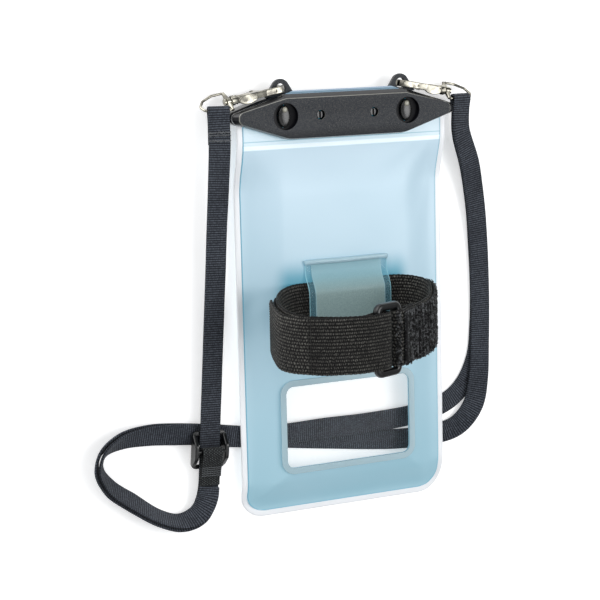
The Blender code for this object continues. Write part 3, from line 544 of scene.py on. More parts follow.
def makeWebbing(name, dark, light, pick, rib, shift, depth, low=0.15, high=0.9, finePick=0.0, wander=0.1):
    # Woven cloth whose threads wander a little. Where the attribute fineWeave is 1 the picks are closer together.
    material, tree, sockets = startMaterial(name, light, 0.75, Specular_IOR_Level=0.22, Sheen_Weight=0.04)
    strip = stripSpace(tree)
    drift = noisy(strip, 0.8, 2.0, 1)
    strip = put(tree, "ShaderNodeVectorMath", {0: drift, 1: (wander, wander * 2, 0.0), 2: strip},
                operation="MULTIPLY_ADD").outputs[0]
    weave = addGroup(weaveGroup, Strip=strip, Pick=pick, Rib=rib, Shift=shift)
    height, strand = weave["Height"], weave["Strand"]
    if finePick:
        fine = addGroup(weaveGroup, Strip=strip, Pick=finePick, Rib=rib, Shift=shift)
        mask = attribute(tree, "fineWeave")
        height = put(tree, "ShaderNodeMix", {0: mask, 2: height, 3: calc("MULTIPLY", fine["Height"], 0.86)},
                     data_type="FLOAT").outputs[0]
    cloud = noisy(objectSpace(tree), 55.0)
    tone = ramp(height, low, high)
    tone = calc("MULTIPLY", tone, calc("MULTIPLY_ADD", strand, 0.7, 0.55))
    tone = calc("MULTIPLY", tone, calc("MULTIPLY_ADD", cloud, 1.3, 0.35))
    link(mix(tone, dark, light), sockets["Base Color"])
    addBump(sockets, height, 0.8, depth)
    return material


def makePlastic(name, color, paler, roughness, pits, depth, **sockets):
    material, tree, inputs = startMaterial(name, color, roughness, **sockets)
    grain = addGroup(grainGroup, Vector=objectSpace(tree), Pits=pits)
    link(mix(grain["Tone"], color, paler), inputs["Base Color"])
    link(calc("MULTIPLY_ADD", grain["Tone"], 0.2, roughness - 0.1), inputs["Roughness"])
    addBump(inputs, grain["Height"], 0.35, depth)
    return material


def makeMetal(name, color, tint, roughness):
    material, tree, sockets = startMaterial(name, color, roughness, Metallic=1.0)
    cloud = noisy(objectSpace(tree), 260.0, 3.0)
    tone = ramp(cloud, 0.36, 0.6)
    link(mix(tone, color, tint), sockets["Base Color"])
    link(calc("MULTIPLY_ADD", cloud, 0.16, roughness - 0.08), sockets["Roughness"])
    addBump(sockets, cloud, 0.2, 0.0002)
    return material


def makePileThread():
    # Black thread loops, each of its own tone, a few of them pale.
    material, tree, sockets = startMaterial("pileThread", rgb(20, 21, 23), 0.7, Specular_IOR_Level=0.3)
    tone = noisy(objectSpace(tree), 620.0, 1.0)
    pale = ramp(tone, 0.42, 0.66)
    link(mix(pale, rgb(5, 5, 6), rgb(96, 98, 100)), sockets["Base Color"])
    addBump(sockets, tone, 0.3, 0.0001)
    return material


def makeLockPlastic():
    # Dark and glossy, with the pip that shows how far the lock is turned, its top in a pale painted highlight.
    material, tree, sockets = startMaterial("lockPlastic", rgb(24, 25, 27), 0.24, Specular_IOR_Level=0.6)
    space = objectSpace(tree)
    grain = addGroup(grainGroup, Vector=space, Pits=900.0)
    height = split(space)[2]
    # Painted highlight: the pip's top, above 13.56 mm, is pale.
    pip = calc("GREATER_THAN", height, 13.56 * mm)
    body = mix(grain["Tone"], rgb(8, 9, 11), rgb(34, 34, 33))
    link(mix(pip, body, rgb(142, 140, 128)), sockets["Base Color"])
    link(calc("MULTIPLY_ADD", grain["Tone"], 0.3, 0.1), sockets["Roughness"])
    addBump(sockets, grain["Height"], 0.3, 0.00004)
    return material


def makeBarPlastic(s):
    # The faces are grained grey with pale specks and painted shade towards their lower edge. The slopes are smooth,
    # glossy and near black, with a thin painted highlight along the face's edge, and the recesses are near black as
    # painted shade.
    material, tree, sockets = startMaterial("grainedPlastic", rgb(50, 52, 56), 0.5, Specular_IOR_Level=0.16,
                                            Coat_Roughness=0.16)
    space = objectSpace(tree)
    grain = addGroup(grainGroup, Vector=space, Pits=1500.0)
    across, along, height = split(space)
    onTop = calc("GREATER_THAN", height, s["faceZ"])
    onEar = within(height, 8.38 * mm, 8.6 * mm, 0.02 * mm)
    under = calc("LESS_THAN", height, 0.08 * mm)
    face = calc("MAXIMUM", calc("MAXIMUM", onTop, onEar), under)
    bright = ramp(noisy(space, 5200.0, 0.0), 0.5, 0.78)
    grey = mix(grain["Tone"], rgb(36, 38, 43), rgb(55, 58, 63))
    grained = mix(bright, grey, rgb(90, 90, 88))
    # Painted shade: the grained face darkens towards its lower edge.
    lower = ramp(along, s["y"] - 9.6 * mm, s["y"] - 5.5 * mm, 0.6, 0.0)
    grained = mix(lower, grained, rgb(26, 28, 32))
    aside = calc("SUBTRACT", calc("ABSOLUTE", across), s["lockX"])
    beyond = calc("SUBTRACT", along, s["y"])
    reach = calc("SQRT", calc("MULTIPLY_ADD", aside, aside, calc("MULTIPLY", beyond, beyond)))
    outside = calc("GREATER_THAN", reach, s["recess"] + 0.3 * mm)
    # Painted highlight: a thin pale line just under the face's height, kept out of the recesses.
    paintedEdgeHighlight = calc("MULTIPLY", within(height, s["faceZ"] - 0.3 * mm, s["faceZ"], 0.05 * mm), outside)
    # The slopes are near black and glossy; in the recesses the same near black is painted shade.
    smooth = mix(paintedEdgeHighlight, rgb(7, 8, 13), rgb(128, 127, 120))
    link(mix(face, smooth, grained), sockets["Base Color"])
    slope = calc("MULTIPLY", calc("SUBTRACT", 1.0, face), outside)
    link(calc("MULTIPLY", slope, 0.8), sockets["Coat Weight"])
    link(calc("MULTIPLY_ADD", face, 0.2, 0.4), sockets["Roughness"])
    addBump(sockets, calc("MULTIPLY", grain["Height"], face), 0.4, 0.00005)
    return material


clamp = {"half": 55 * mm, "top": 10.3 * mm, "low": 10.6 * mm, "flatTop": 30 * mm, "flatLow": 29 * mm, "tip": 2.2 * mm,
         "round": 2.5 * mm, "y": 84.3 * mm, "frontThick": 8.5 * mm, "backZ": 10.4 * mm, "backThick": 4.1 * mm,
         "edge": 0.8 * mm, "slope": 2.6 * mm, "lockX": 30.5 * mm, "recess": 6 * mm, "recessDeep": 2.6 * mm,
         "pegX": 13.35 * mm, "pegHole": 2.15 * mm, "earX": 30 * mm, "earY": 96.3 * mm, "earRadius": 4.4 * mm,
         "earHole": 2.4 * mm, "faceZ": 14.42 * mm, "stepBack": 0.6 * mm, "slot": 3.1 * mm,
         "knob": 6.5 * mm, "bore": 2.7 * mm, "peg": 1.6 * mm, "earZ": 6.5 * mm, "earThick": 1.98 * mm}
strapWeb = makeWebbing("satinStrap", rgb(12, 15, 22), rgb(92, 98, 108), 1.05, 0.4, 0.0, 0.0002, 0.35, 1.0)
elasticWeb = makeWebbing("ribbedElastic", rgb(4, 4, 4), rgb(96, 95, 90), 1.3, 1.47, 0.5, 0.0005, 0.5, 0.98,
                         finePick=0.9, wander=0.9)
stubWeb = makeWebbing("coarseStrap", rgb(6, 7, 10), rgb(74, 78, 78), 1.1, 0.8, 0.5, 0.0003, 0.4, 0.95)
pileWeb = makeWebbing("pileBacking", rgb(3, 3, 4), rgb(20, 21, 23), 0.9, 0.9, 0.37, 0.0004)
pileThread = makePileThread()
hookWeb = makeWebbing("hookTape", rgb(10, 10, 11), rgb(44, 44, 46), 0.8, 0.8, 0.5, 0.0003)
threadInk = makePlastic("sewingThread", rgb(52, 55, 60), rgb(112, 115, 118), 0.7, 3000.0, 0.00003)
seamThread = makePlastic("bandThread", rgb(10, 10, 10), rgb(40, 40, 38), 0.7, 3000.0, 0.00003)
barPlastic = makeBarPlastic(clamp)
lockPlastic = makeLockPlastic()
blackGloss = makePlastic("satinBlackPlastic", rgb(3, 4, 5), rgb(11, 13, 15), 0.3, 1200.0, 0.00002,
                         Specular_IOR_Level=0.35, Coat_Weight=0.3, Coat_Roughness=0.12)
nickelPlate = makeMetal("nickelPlate", (0.11, 0.104, 0.09, 1), (0.44, 0.42, 0.355, 1), 0.2)
foamGrey = makePlastic("softFoam", rgb(110, 112, 116), rgb(140, 142, 146), 0.9, 2600.0, 0.0002)


pouch = {"width": 105 * mm, "bottom": -100.7 * mm, "corner": 12 * mm, "clampY": 84.3 * mm, "clampEdge": 73.7 * mm,
         "thick": 0.5 * mm, "gap": 0.3 * mm, "rim": 4 * mm, "rise": 4.4 * mm, "ramp": 19 * mm, "lift": 3.2 * mm,
         "front": 8.8 * mm, "fall": 24 * mm, "foot": 14 * mm, "pocketFall": 26 * mm, "top": 95.3 * mm,
         "seam": 3.0 * mm, "bandLow": 69.7 * mm, "bandHigh": 71.7 * mm, "bandLine": 73.2 * mm,
         "stripLow": 90 * mm, "stripLine": 94.3 * mm, "mouth": 51.7 * mm}


def makeBlueFilm(s):
    # Frosted blue film: paler above the weld band, deeper towards the bottom, and a darker line along each seam.
    # The slight glow stands for daylight that comes through it and keeps its shadows teal.
    upper, lower = rgb(203, 213, 222), rgb(157, 184, 194)
    material, tree, sockets = startMaterial("blueFilm", upper, 0.42, Coat_Weight=0.12, Coat_Roughness=0.3,
                                            Emission_Color=(0.0, 0.55, 0.8, 1), Emission_Strength=0.16)
    space = objectSpace(tree)
    frost = addGroup(frostGroup, Vector=space)
    height = split(space)[1]
    seam = attribute(tree, "seamDistance")
    depth = ramp(height, 0.065, -0.1)
    depth = calc("ADD", depth, calc("MULTIPLY_ADD", frost["Cloud"], 0.5, -0.25))
    color = mix(depth, upper, lower)
    above = within(height, s["bandHigh"], 0.2, 0.0002)
    color = mix(above, color, rgb(236, 240, 244))
    band = within(height, s["bandLow"], s["bandHigh"], 0.0002)
    color = mix(band, color, rgb(246, 250, 252))
    line = within(height, s["bandLine"], s["bandLine"] + 0.4 * mm, 0.0001)
    color = mix(line, color, rgb(168, 196, 206))
    # The strip that shows above the clamp is dim, with a thin seam line.
    strip = within(height, s["stripLow"], 0.2, 0.0003)
    color = mix(strip, color, rgb(150, 156, 174))
    line = within(height, s["stripLine"], s["stripLine"] + 0.3 * mm, 0.0001)
    color = mix(line, color, rgb(70, 74, 90))
    shade = attribute(tree, "bandShade")
    color = mix(calc("MULTIPLY", shade, 0.85), color, rgb(70, 140, 162))
    edge = within(seam, -0.01, 0.0003, 0.0002)
    link(mix(edge, color, rgb(120, 168, 186)), sockets["Base Color"])
    clear = calc("MULTIPLY_ADD", calc("SUBTRACT", above, strip), -0.2, 0.93)
    link(calc("ADD", clear, calc("MULTIPLY", band, 0.15)), sockets["Alpha"])
    addBump(sockets, frost["Height"], 0.18, 0.00004)
    return material


def makeClearFilm(name, color, alpha, roughness, ripple, gloss=0.55):
    # Clear film: seen square on it nearly vanishes, and it whitens towards its edges and folds.
    material, tree, sockets = startMaterial(name, color, roughness)
    frost = addGroup(frostGroup, Vector=objectSpace(tree))
    facing = put(tree, "ShaderNodeFresnel", {"IOR": 1.45}).outputs[0]
    base = calc("MULTIPLY_ADD", frost["Cloud"], 0.4 * alpha, 0.8 * alpha)
    link(calc("MULTIPLY_ADD", facing, gloss, base), sockets["Alpha"])
    addBump(sockets, frost["Cloud"], ripple, 0.002)
    return material


blueFilm = makeBlueFilm(pouch)
rimFilm = makeClearFilm("weldedRim", rgb(250, 252, 255), 0.85, 0.3, 0.05)
beadFilm = makeClearFilm("meltedBead", rgb(200, 230, 242), 0.5, 0.12, 0.1, 0.8)
frontFilm = makeClearFilm("frontFilm", rgb(232, 240, 246), 0.006, 0.2, 0.15, 0.08)
windowClear = makeClearFilm("windowFilm", rgb(240, 244, 247), 0.004, 0.1, 0.3, 0.08)
frameFilm = makeClearFilm("windowFrame", rgb(190, 214, 222), 0.55, 0.3, 0.1)
print("materials made")


# Lanyard: the routes are those of the solids. Each row holds a point in millimetres and the direction across the strap

strapSizes = {"width": 9.8 * mm, "thick": 1.0 * mm, "hem": 1.1 * mm, "wander": 0.12 * mm, "spacing": 1.2 * mm,
              "stitchRows": (78.2 * mm, 77.2 * mm, 75.2 * mm)}
outerPath = [
    (-60.5, 73.23, 9.042, 0.977, 0, 0.212), (-60.5, 83.23, 9.042, 0.977, 0, 0.212),
    (-60.29, 88.23, 8.089, 0.977, 0, 0.212), (-60.4, 89.4, 8.561, 0.977, 0, 0.212),
    (-60.64, 89.88, 9.701, 0.977, 0, 0.212), (-60.89, 89.4, 10.84, 0.977, 0, 0.212),
    (-60.99, 88.23, 11.31, 0.977, 0, 0.212), (-60.78, 83.23, 10.36, 0.977, 0, 0.212),
    (-60.78, 73.23, 10.36, 0.977, 0, 0.212), (-62.69, 38.8, 9.121, 0.998, -0.0552, -0.002),
    (-64.59, 4.365, 7.881, 0.998, -0.0552, -0.002), (-66.5, -30.07, 6.64, 0.998, -0.0552, -0.002),
    (-68.4, -64.5, 5.4, 0.998, -0.0552, -0.002), (-69.28, -80.47, 4.825, 0.998, -0.0552, -0.002),
    (-70.2, -87, 4.4, 0.84, -0.502, 0.208), (-74.5, -94.2, 4.9, 0.447, -0.594, 0.669),
    (-83.5, -97, 5.3, -0.0216, -0.469, 0.883), (-94, -93.3, 5, -0.242, -0.438, 0.866),
    (-106.5, -84.3, 4.6, -0.389, -0.512, 0.766), (-116.8, -76, 4.9, -0.439, -0.39, 0.809),
    (-121.6, -67.3, 5.1, -0.434, -0.0645, 0.899), (-119.3, -59.2, 5, -0.351, 0.312, 0.883),
    (-110.5, -54.8, 3.9, -0.168, 0.747, 0.643), (-97, -54.2, 2.4, 0.0415, 0.95, 0.309),
    (-83, -56, 1, 0.136, 0.988, 0.0698), (-68, -58.2, 0.75, 0.165, 0.986, 0),
    (-52, -61.2, 0.75, 0.184, 0.983, 0), (-30, -64.5, 0.75, 0.148, 0.989, 0), (0, -69, 0.75, 0.138, 0.99, 0),
    (28, -72.6, 0.75, 0.0814, 0.997, 0), (49, -73, 0.9, -0.0917, 0.993, -0.0698),
    (60.5, -69.6, 3.2, -0.485, 0.757, -0.438), (68.5, -60.5, 4.8, -0.74, 0.414, -0.53),
    (72.6, -48, 3.6, -0.96, 0.186, -0.208), (74.4, -30, 2.4, -0.998, 0.0511, -0.0349),
    (74.8, -5, 2.2, -1, -0.016, 0), (73.6, 20, 3, -0.997, -0.0834, 0), (71.2, 38, 4.8, -0.983, -0.186, 0),
    (66.6, 57, 8, -0.972, -0.235, 0), (60.78, 73.23, 10.36, -0.977, 0, 0.212),
    (60.78, 83.23, 10.36, -0.977, 0, 0.212), (60.99, 88.23, 11.31, -0.977, 0, 0.212),
    (60.89, 89.4, 10.84, -0.977, 0, 0.212), (60.64, 89.88, 9.701, -0.977, 0, 0.212)]
innerPath = [
    (60.53, 89.8, 9.203, 0.977, 0, -0.212), (60.36, 89.2, 8.397, 0.977, 0, -0.212),
    (60.29, 88.23, 8.089, 0.977, 0, -0.212), (60.5, 83.23, 9.042, 0.977, 0, -0.212),
    (60.5, 73.23, 9.042, 0.977, 0, -0.212), (66.6, 57, 6.2, 0.972, 0.235, 0),
    (71.2, 38, 3.2, 0.983, 0.186, 0), (73.6, 20, 1.4, 0.997, 0.0834, 0), (74.8, -5, 0.8, 1, 0.019, 0),
    (74.4, -22, 0.75, 0.998, -0.0644, 0), (72.8, -36, 0.75, 0.967, -0.257, 0),
    (67.5, -48, 0.75, 0.833, -0.554, 0), (59.5, -56, 0.75, 0.53, -0.848, 0), (47, -60.8, 0.75, 0.247, -0.969, 0),
    (36, -62, 1.1, 0.0725, -0.997, 0), (25, -62.4, 2.1, 0.0214, -1, 0), (8, -62.6, 2.1, 0, -1, 0),
    (-12, -62.4, 2.1, 0, -1, 0), (-34, -62.6, 2.1, 0.00909, -1, 0), (-52, -61.2, 2.1, -0.184, -0.983, 0),
    (-67.99, -58.2, 2.1, -0.165, -0.986, 0), (-82.91, -56.15, 2.892, -0.136, -0.988, -0.0698),
    (-96.84, -54.79, 4.198, -0.0415, -0.95, -0.309), (-110.1, -55.95, 5.35, 0.168, -0.747, -0.643),
    (-118, -60.27, 5.891, 0.351, -0.312, -0.883), (-119.9, -67.05, 5.933, 0.434, 0.0645, -0.899),
    (-115.6, -75, 6.017, 0.439, 0.39, -0.809), (-105.6, -83.14, 5.821, 0.389, 0.512, -0.766),
    (-93.23, -91.85, 5.95, 0.242, 0.438, -0.866), (-83.42, -95.32, 6.192, 0.0216, 0.469, -0.883),
    (-75.2, -93.14, 6.311, -0.447, 0.594, -0.669), (-70.57, -86.85, 6.258, -0.84, 0.502, -0.208),
    (-69.33, -81.32, 6.345, -0.998, 0.0552, 0.002)]


def strapRoute(rows, steps=6):
    controls = [(Vector(row[:3]) * mm, Vector(row[3:])) for row in rows]
    route = smoothRoute([point for point, side in controls], steps)
    sides = [a[1].lerp(b[1], i / steps) for a, b in zip(controls, controls[1:]) for i in range(steps)]
    return evenRoute(route, sides + [controls[-1][1]], strapSizes["spacing"])


def strapProfile(s):
    # A woven strap is a little fuller along its two edges.
    return [(a, b * (1.0 if abs(a) > s["width"] / 2 - s["hem"] else 0.86))
            for a, b in bandProfile(s["width"], s["thick"], 3, 12)]


def addLanyard(s):
    def sag(along, a, b):
        # The edges wander a little, as a soft strap's do.
        return a + s["wander"] * noise.noise(Vector((along * 60, a * 40, 3))), b

    pieces = []
    for name, rows, node in (("lanyardOuter", outerPath, "lanyard_outer"),
                             ("lanyardInner", innerPath, "lanyard_inner")):
        route, sides = strapRoute(rows)
        mesh = sweep(name, route, sides, strapProfile(s), sag)
        pieces.append((place(name, mesh, strapWeb, "black_web", "case", node), route))
    return pieces


lanyardPieces = addLanyard(strapSizes)
print("lanyard laid")


# Slider and the sewn end that turns over its middle bar

slider = {"place": Vector((-68.4, -64.5, 5.4)) * mm, "way": Vector((0.0552, 0.9978, 0.0359)).normalized(),
          "side": Vector((0.9985, -0.0552, -0.002)).normalized(), "width": 16.4 * mm, "length": 17.5 * mm,
          "rail": 1.9 * mm, "bar": 1.5 * mm, "middle": 1.6 * mm, "middleZ": 2.9 * mm, "under": -0.8 * mm,
          "corner": 2.4 * mm, "edge": 0.45 * mm, "railCorners": (0.5, 0.5, 0.9, 2.5, 2.5, 0.9)}


def addSlider(s):
    # One closed frame under the strap with round corners, two arched rails on it and a round middle bar.
    half, low, high = s["length"] / 2, s["under"] - s["bar"], s["middleZ"] + s["middle"] / 2
    long, start, shoulder = half - 1.3 * mm, low + 0.3 * mm, s["under"] + 0.4 * mm
    side = corner([(-long, start), (long, start), (long, shoulder), (half * 0.35, high), (-half * 0.35, high),
                   (-long, shoulder)], [radius * mm for radius in s["railCorners"]], 5)
    inside = s["width"] - s["rail"]
    parts = []
    for sign in (-1, 1):
        rail = plate([side], -s["rail"] / 2, s["rail"], s["edge"], 3)
        rail.transform(Matrix.Translation((sign * inside / 2, 0, 0)) @ Matrix.Rotation(pi / 2, 4, "Z")
                       @ Matrix.Rotation(pi / 2, 4, "X"))
        parts.append(rail)
    opening = box(s["width"] - 2 * s["rail"], s["length"] - 4 * mm, 0.8 * mm, steps=5)
    outside = box(s["width"], s["length"], s["corner"], steps=8)
    parts.append(plate([outside, opening[::-1]], low, s["bar"], s["edge"], 3))
    parts.append(tube([(-inside / 2, 0, s["middleZ"]), (inside / 2, 0, s["middleZ"])], s["middle"] / 2, resolution=5))
    mesh = cutAndJoin(parts[0], (), parts[1:])
    matrix = Matrix((s["side"], s["way"], s["side"].cross(s["way"]))).transposed().to_4x4()
    matrix.translation = s["place"]
    mesh.transform(matrix)
    return place("lanyardSlider", shade(mesh, 40), blackGloss, "black_plastic", "slider", "lanyard_slider")


sliderPiece = addSlider(slider)

# The sewn end's route, in millimetres
stubRows = [(-69.28, -80.51, 6.174), (-68.95, -74.6, 6.4), (-68.57, -67.54, 6.591), (-68.4, -64.55, 6.699),
            (-68.34, -63.43, 7.208), (-68.31, -63.01, 8.356), (-68.34, -63.52, 9.469), (-68.4, -64.66, 9.897),
            (-68.54, -67.23, 9.575), (-68.69, -69.97, 8.866), (-68.84, -72.59, 8.061), (-69.03, -76.07, 7.685)]


def sewnRoute():
    points = smoothRoute([Vector(row) * mm for row in stubRows], 5)
    return evenRoute(points, [slider["side"]] * len(points), 0.5 * mm)


sewnEnd = place("sewnEnd", sweep("sewnEnd", *sewnRoute(), strapProfile(strapSizes)), stubWeb, "black_web", "slider",
                "lanyard_sewn_end")


# Stitches: one Geometry Nodes tree lays short threads along any line

def scatter(tree, given, result, points, thing, turn, size):
    # Puts a thing on every point, turned and sized, and gives the copies their material.
    lean = put(tree, "FunctionNodeRotateRotation", {0: points["Rotation"], 1: turn}, rotation_space="LOCAL").outputs[0]
    laid = put(tree, "GeometryNodeInstanceOnPoints", {"Points": points["Points"], "Instance": thing,
                                                      "Rotation": lean, "Scale": size}).outputs[0]
    real = put(tree, "GeometryNodeRealizeInstances", {0: laid}).outputs[0]
    colored = put(tree, "GeometryNodeSetMaterial", {"Geometry": real, "Material": given["Thread"]}).outputs[0]
    link(colored, result[0])
    return tree


def randomTurn(tree, given, most):
    return put(tree, "FunctionNodeRandomValue", {"Min": tuple(-value for value in most), "Max": most,
                                                 "Seed": given["Seed"]}, data_type="FLOAT_VECTOR").outputs[0]


def grown(thing, tree, inputs):
    # The mesh that a Geometry Nodes tree makes of a scratch object.
    modifier = thing.modifiers.new("grown", "NODES")
    modifier.node_group = tree
    for item in tree.interface.items_tree:
        if item.in_out == "INPUT" and item.name in inputs:
            modifier[item.identifier] = inputs[item.name]
    mesh = bake(thing)
    mesh.shade_smooth()
    return mesh


def makeStitchTree():
    tree, given, result = openTree("Geometry", "stitchRow", [
        ("Line", "Geometry"), ("Spacing", "Float", 0.002), ("Length", "Float", 0.0014), ("Radius", "Float", 0.0002),
        ("Spread", "Float", 0.15), ("Seed", "Int", 1), ("Thread", "Material")], [("Stitches", "Geometry")])
    line = put(tree, "GeometryNodeMeshToCurve", {0: given["Line"]}).outputs[0]
    points = put(tree, "GeometryNodeCurveToPoints", {"Curve": line, "Length": given["Spacing"]}, mode="LENGTH").outputs
    thread = put(tree, "GeometryNodeMeshUVSphere", {"Segments": 8, "Rings": 5, "Radius": 1.0}).outputs["Mesh"]
    size = put(tree, "ShaderNodeCombineXYZ", {0: given["Radius"], 1: given["Radius"],
                                              2: calc("DIVIDE", given["Length"], 2.0)}).outputs[0]
    turn = put(tree, "ShaderNodeVectorMath", {0: randomTurn(tree, given, (1.0, 1.0, 1.0)), 3: given["Spread"]},
               operation="SCALE").outputs[0]
    return scatter(tree, given, result, points, thread, turn, size)


stitchTree = makeStitchTree()


def stitches(name, lines, body, slotName, material, **sizes):
    # lines is a list of rows, each a list of points.
    mesh = bpy.data.meshes.new(name)
    edges, start = [], 0
    for line in lines:
        edges += [(start + i, start + i + 1) for i in range(len(line) - 1)]
        start += len(line)
    mesh.from_pydata([tuple(point) for line in lines for point in line], edges, [])
    laid = grown(scratch(name + "Line", mesh), stitchTree, dict(sizes, Thread=material))
    return place(name, laid, material, slotName, body)


def crossRow(frames, index, lift, halfWidth, count=2):
    point, across, up, forward = frames[index]
    lift *= 1 if up.z > 0 else -1
    return [point + up * lift + across * (halfWidth * (2 * i / count - 1)) for i in range(count + 1)]


def addStrapStitches(s):
    # The left end is stitched down below the ring, in rough rows.
    frames = routeFrames(*strapRoute(outerPath))
    upper = [i for i, frameAt in enumerate(frames[:60]) if frameAt[0].z > 9.9 * mm]
    nearest = [min(upper, key=lambda i: abs(frames[i][0].y - y)) for y in s["stitchRows"]]
    rows = [crossRow(frames, i, s["thick"] / 2, s["width"] / 2 - 0.4 * mm) for i in nearest]
    return stitches("strapStitches", rows, "case", "black_web", threadInk, Spacing=0.38 * mm, Length=1.7 * mm,
                    Radius=0.22 * mm, Spread=1.1, Seed=3)


def addSewnStitches(s):
    frames = routeFrames(*sewnRoute())
    last = len(frames) - 1
    rows = [crossRow(frames, i, s["thick"] / 2, s["width"] / 2 - 0.7 * mm) for i in range(last - 9, last, 2)]
    return stitches("sewnStitches", rows, "slider", "black_web", threadInk, Spacing=0.9 * mm, Length=1.0 * mm,
                    Radius=0.16 * mm, Seed=5)


strapStitches = addStrapStitches(strapSizes)
sewnStitches = addSewnStitches(strapSizes)

(outerPiece, outerRoute), (innerPiece, innerRoute) = lanyardPieces
tuple(outerRoute[0])
routeLength(outerRoute)
[tuple(p) for p in outerRoute]
tuple(innerRoute[0])
routeLength(innerRoute)
[tuple(p) for p in innerRoute]
print("slider and stitches made")


# Pouch: frosted back film, clear front film and the clear welded rim

def ease(value):
    value = min(max(value, 0), 1)
    return value * value * (3 - 2 * value)


def edgeDistance(x, y):
    side = pouch["width"] / 2 - abs(x)
    low = y - pouch["bottom"]
    if side < pouch["corner"] and low < pouch["corner"]:
        return pouch["corner"] - hypot(pouch["corner"] - side, pouch["corner"] - low)
    return min(side, low)


def rimHeight(y):
    s = pouch
    fall = ease((s["clampEdge"] - y) / s["fall"])
    foot = ease((y - s["bottom"] - s["rim"]) / s["foot"])
    return (s["front"] + (s["lift"] - s["front"]) * fall) * foot


def pocketBulge(x, y):
    s = pouch
    fall = ease((s["clampEdge"] - y) / s["pocketFall"])
    return s["rise"] * ease((edgeDistance(x, y) - s["rim"]) / s["ramp"]) * fall


def halfWidthAt(y, inset):
    s = pouch
    low = y - s["bottom"] - inset
    radius = s["corner"] - inset
    narrow = radius - sqrt(max(0, low * (2 * radius - low))) if low < radius else 0
    rise = max(0, y - s["clampY"] - 2.2 * mm)
    return min(s["width"] / 2 - inset - narrow, s["mouth"] - 25 * mm * rise / (8.1 * mm))


# Each soft fold runs from one point to another, with its half width and its height, all in millimetres.
softFolds = [((46, 72), (14, 28), 5, 0.55), ((36, 71), (-4, 45), 5, 0.4), ((50, 60), (34, 14), 4, 0.4),
             ((-47, 71), (-26, 44), 5, 0.35), ((-6, 70), (-30, 30), 8, 0.25), ((-46, -6), (-24, 8), 4, 0.35)]


def softDent(x, y):
    # Slack in the film: slow hollows, and folds that run out from under the clamp and past the armband.
    slow = noise.noise(Vector((x * 30, y * 22, 4))) * 0.4 * mm
    here, folds = Vector((x, y)) / mm, 0
    for start, end, wide, high in softFolds:
        start, along = Vector(start), Vector(end) - Vector(start)
        t = min(max((here - start).dot(along) / along.length_squared, 0), 1)
        gap = (here - start - along * t).length / (wide * (0.7 + 0.8 * t))
        folds += high * mm * (1 - t) ** 0.6 * 2.718 ** (-gap * gap)
    away = ease((edgeDistance(x, y) - 4 * mm) / (8 * mm)) * ease((74 * mm - y) / (4 * mm))
    # The film stays flat under the belt loop and round the window.
    loop = ease((30 * mm - abs(x)) / (6 * mm)) * ease((24 * mm - y) / (6 * mm)) * ease((y + 33 * mm) / (5 * mm))
    pane = ease((40 * mm - abs(x)) / (5 * mm)) * ease((-30 * mm - y) / (6 * mm)) * ease((y + 86 * mm) / (5 * mm))
    return (slow + folds) * away * (1 - max(loop, pane))


def filmGrid(name, inset, height, columns, rows):
    # The film's lower face, with its points closer together towards its sides and its ends.
    mesh = bpy.data.meshes.new(name)
    work = bmesh.new()
    low, high = pouch["bottom"] + inset, pouch["top"]
    grid = []
    for i in range(rows + 1):
        t = i / rows
        y = low + (high - low) * (t * t * (3 - 2 * t) * 0.35 + t * 0.65)
        half = max(halfWidthAt(y, inset), 1 * mm)
        grid.append([work.verts.new((half * sin(pi / 2 * (2 * k / columns - 1)), y, 0)) for k in range(columns + 1)])
    for vertex in work.verts:
        vertex.co.z = height(vertex.co.x, vertex.co.y)
    for face in joinRows(work, grid, closed=False):
        face.smooth = True
    work.to_mesh(mesh)
    work.free()
    return mesh


def thicken(mesh, thickness):
    thing = scratch("film", mesh)
    solid = thing.modifiers.new("thickness", "SOLIDIFY")
    solid.thickness = thickness
    solid.offset = 1
    return bake(thing)


def footShade(x, y):
    # How near the film is to the foot of the band, where little light reaches it.
    aside = max(abs(x + 1 * mm) - 27 * mm, 0)
    away = hypot(aside * 1.3, max(abs(y + 3 * mm) - 12 * mm, 0))
    return ease(1 - away / (13 * mm)) ** 1.3 * (1 if y > -3 * mm else 0.5)


def tagPoints(mesh, label, value):
    # Writes value(x, y) on every point of a mesh.
    tag = mesh.attributes.new(label, "FLOAT", "POINT")
    tag.data.foreach_set("value", [value(v.co.x, v.co.y) for v in mesh.vertices])


windowSizes = {"y": -58.3 * mm, "width": 63 * mm, "height": 38 * mm, "corner": 3.5 * mm, "frame": 3 * mm,
               "low": 9.0 * mm, "film": 0.3 * mm}


def addPouch(s, w):
    back = thicken(filmGrid("back", s["seam"], lambda x, y: rimHeight(y) + s["thick"] + s["gap"] + pocketBulge(x, y)
                            + softDent(x, y), 96, 150), s["thick"])
    hole = plate([box(w["width"], w["height"], w["corner"], 0, w["y"])], 4.5 * mm, 8 * mm)
    back = cutAndJoin(back, [hole] + clampHoles(5 * mm, 8 * mm))
    tagPoints(back, "seamDistance", lambda x, y: edgeDistance(x, y) - s["seam"])
    tagPoints(back, "bandShade", footShade)
    place("backFilm", shade(back, 50), blueFilm, "blue_film", "case", "back_sheet")
    front = thicken(filmGrid("front", s["seam"], lambda x, y: rimHeight(y) + (0.05 * mm if y < s["clampEdge"] else 0),
                             60, 90), s["thick"])
    front = cutAndJoin(front, clampHoles(5 * mm, 8 * mm))
    place("frontFilm", shade(front, 50), frontFilm, "clear_film", "case", "front_sheet")


def clampHoles(bottom, height):
    # Holes in the film for the clamp's pegs and locks.
    s, holes = clamp, []
    for sign in (-1, 1):
        holes.append(drill(s["pegHole"], sign * s["pegX"], s["y"], bottom, height))
        holes.append(drill(s["slot"], sign * s["lockX"], s["y"], bottom, height, 1.65))
    return holes


addPouch(pouch, windowSizes)


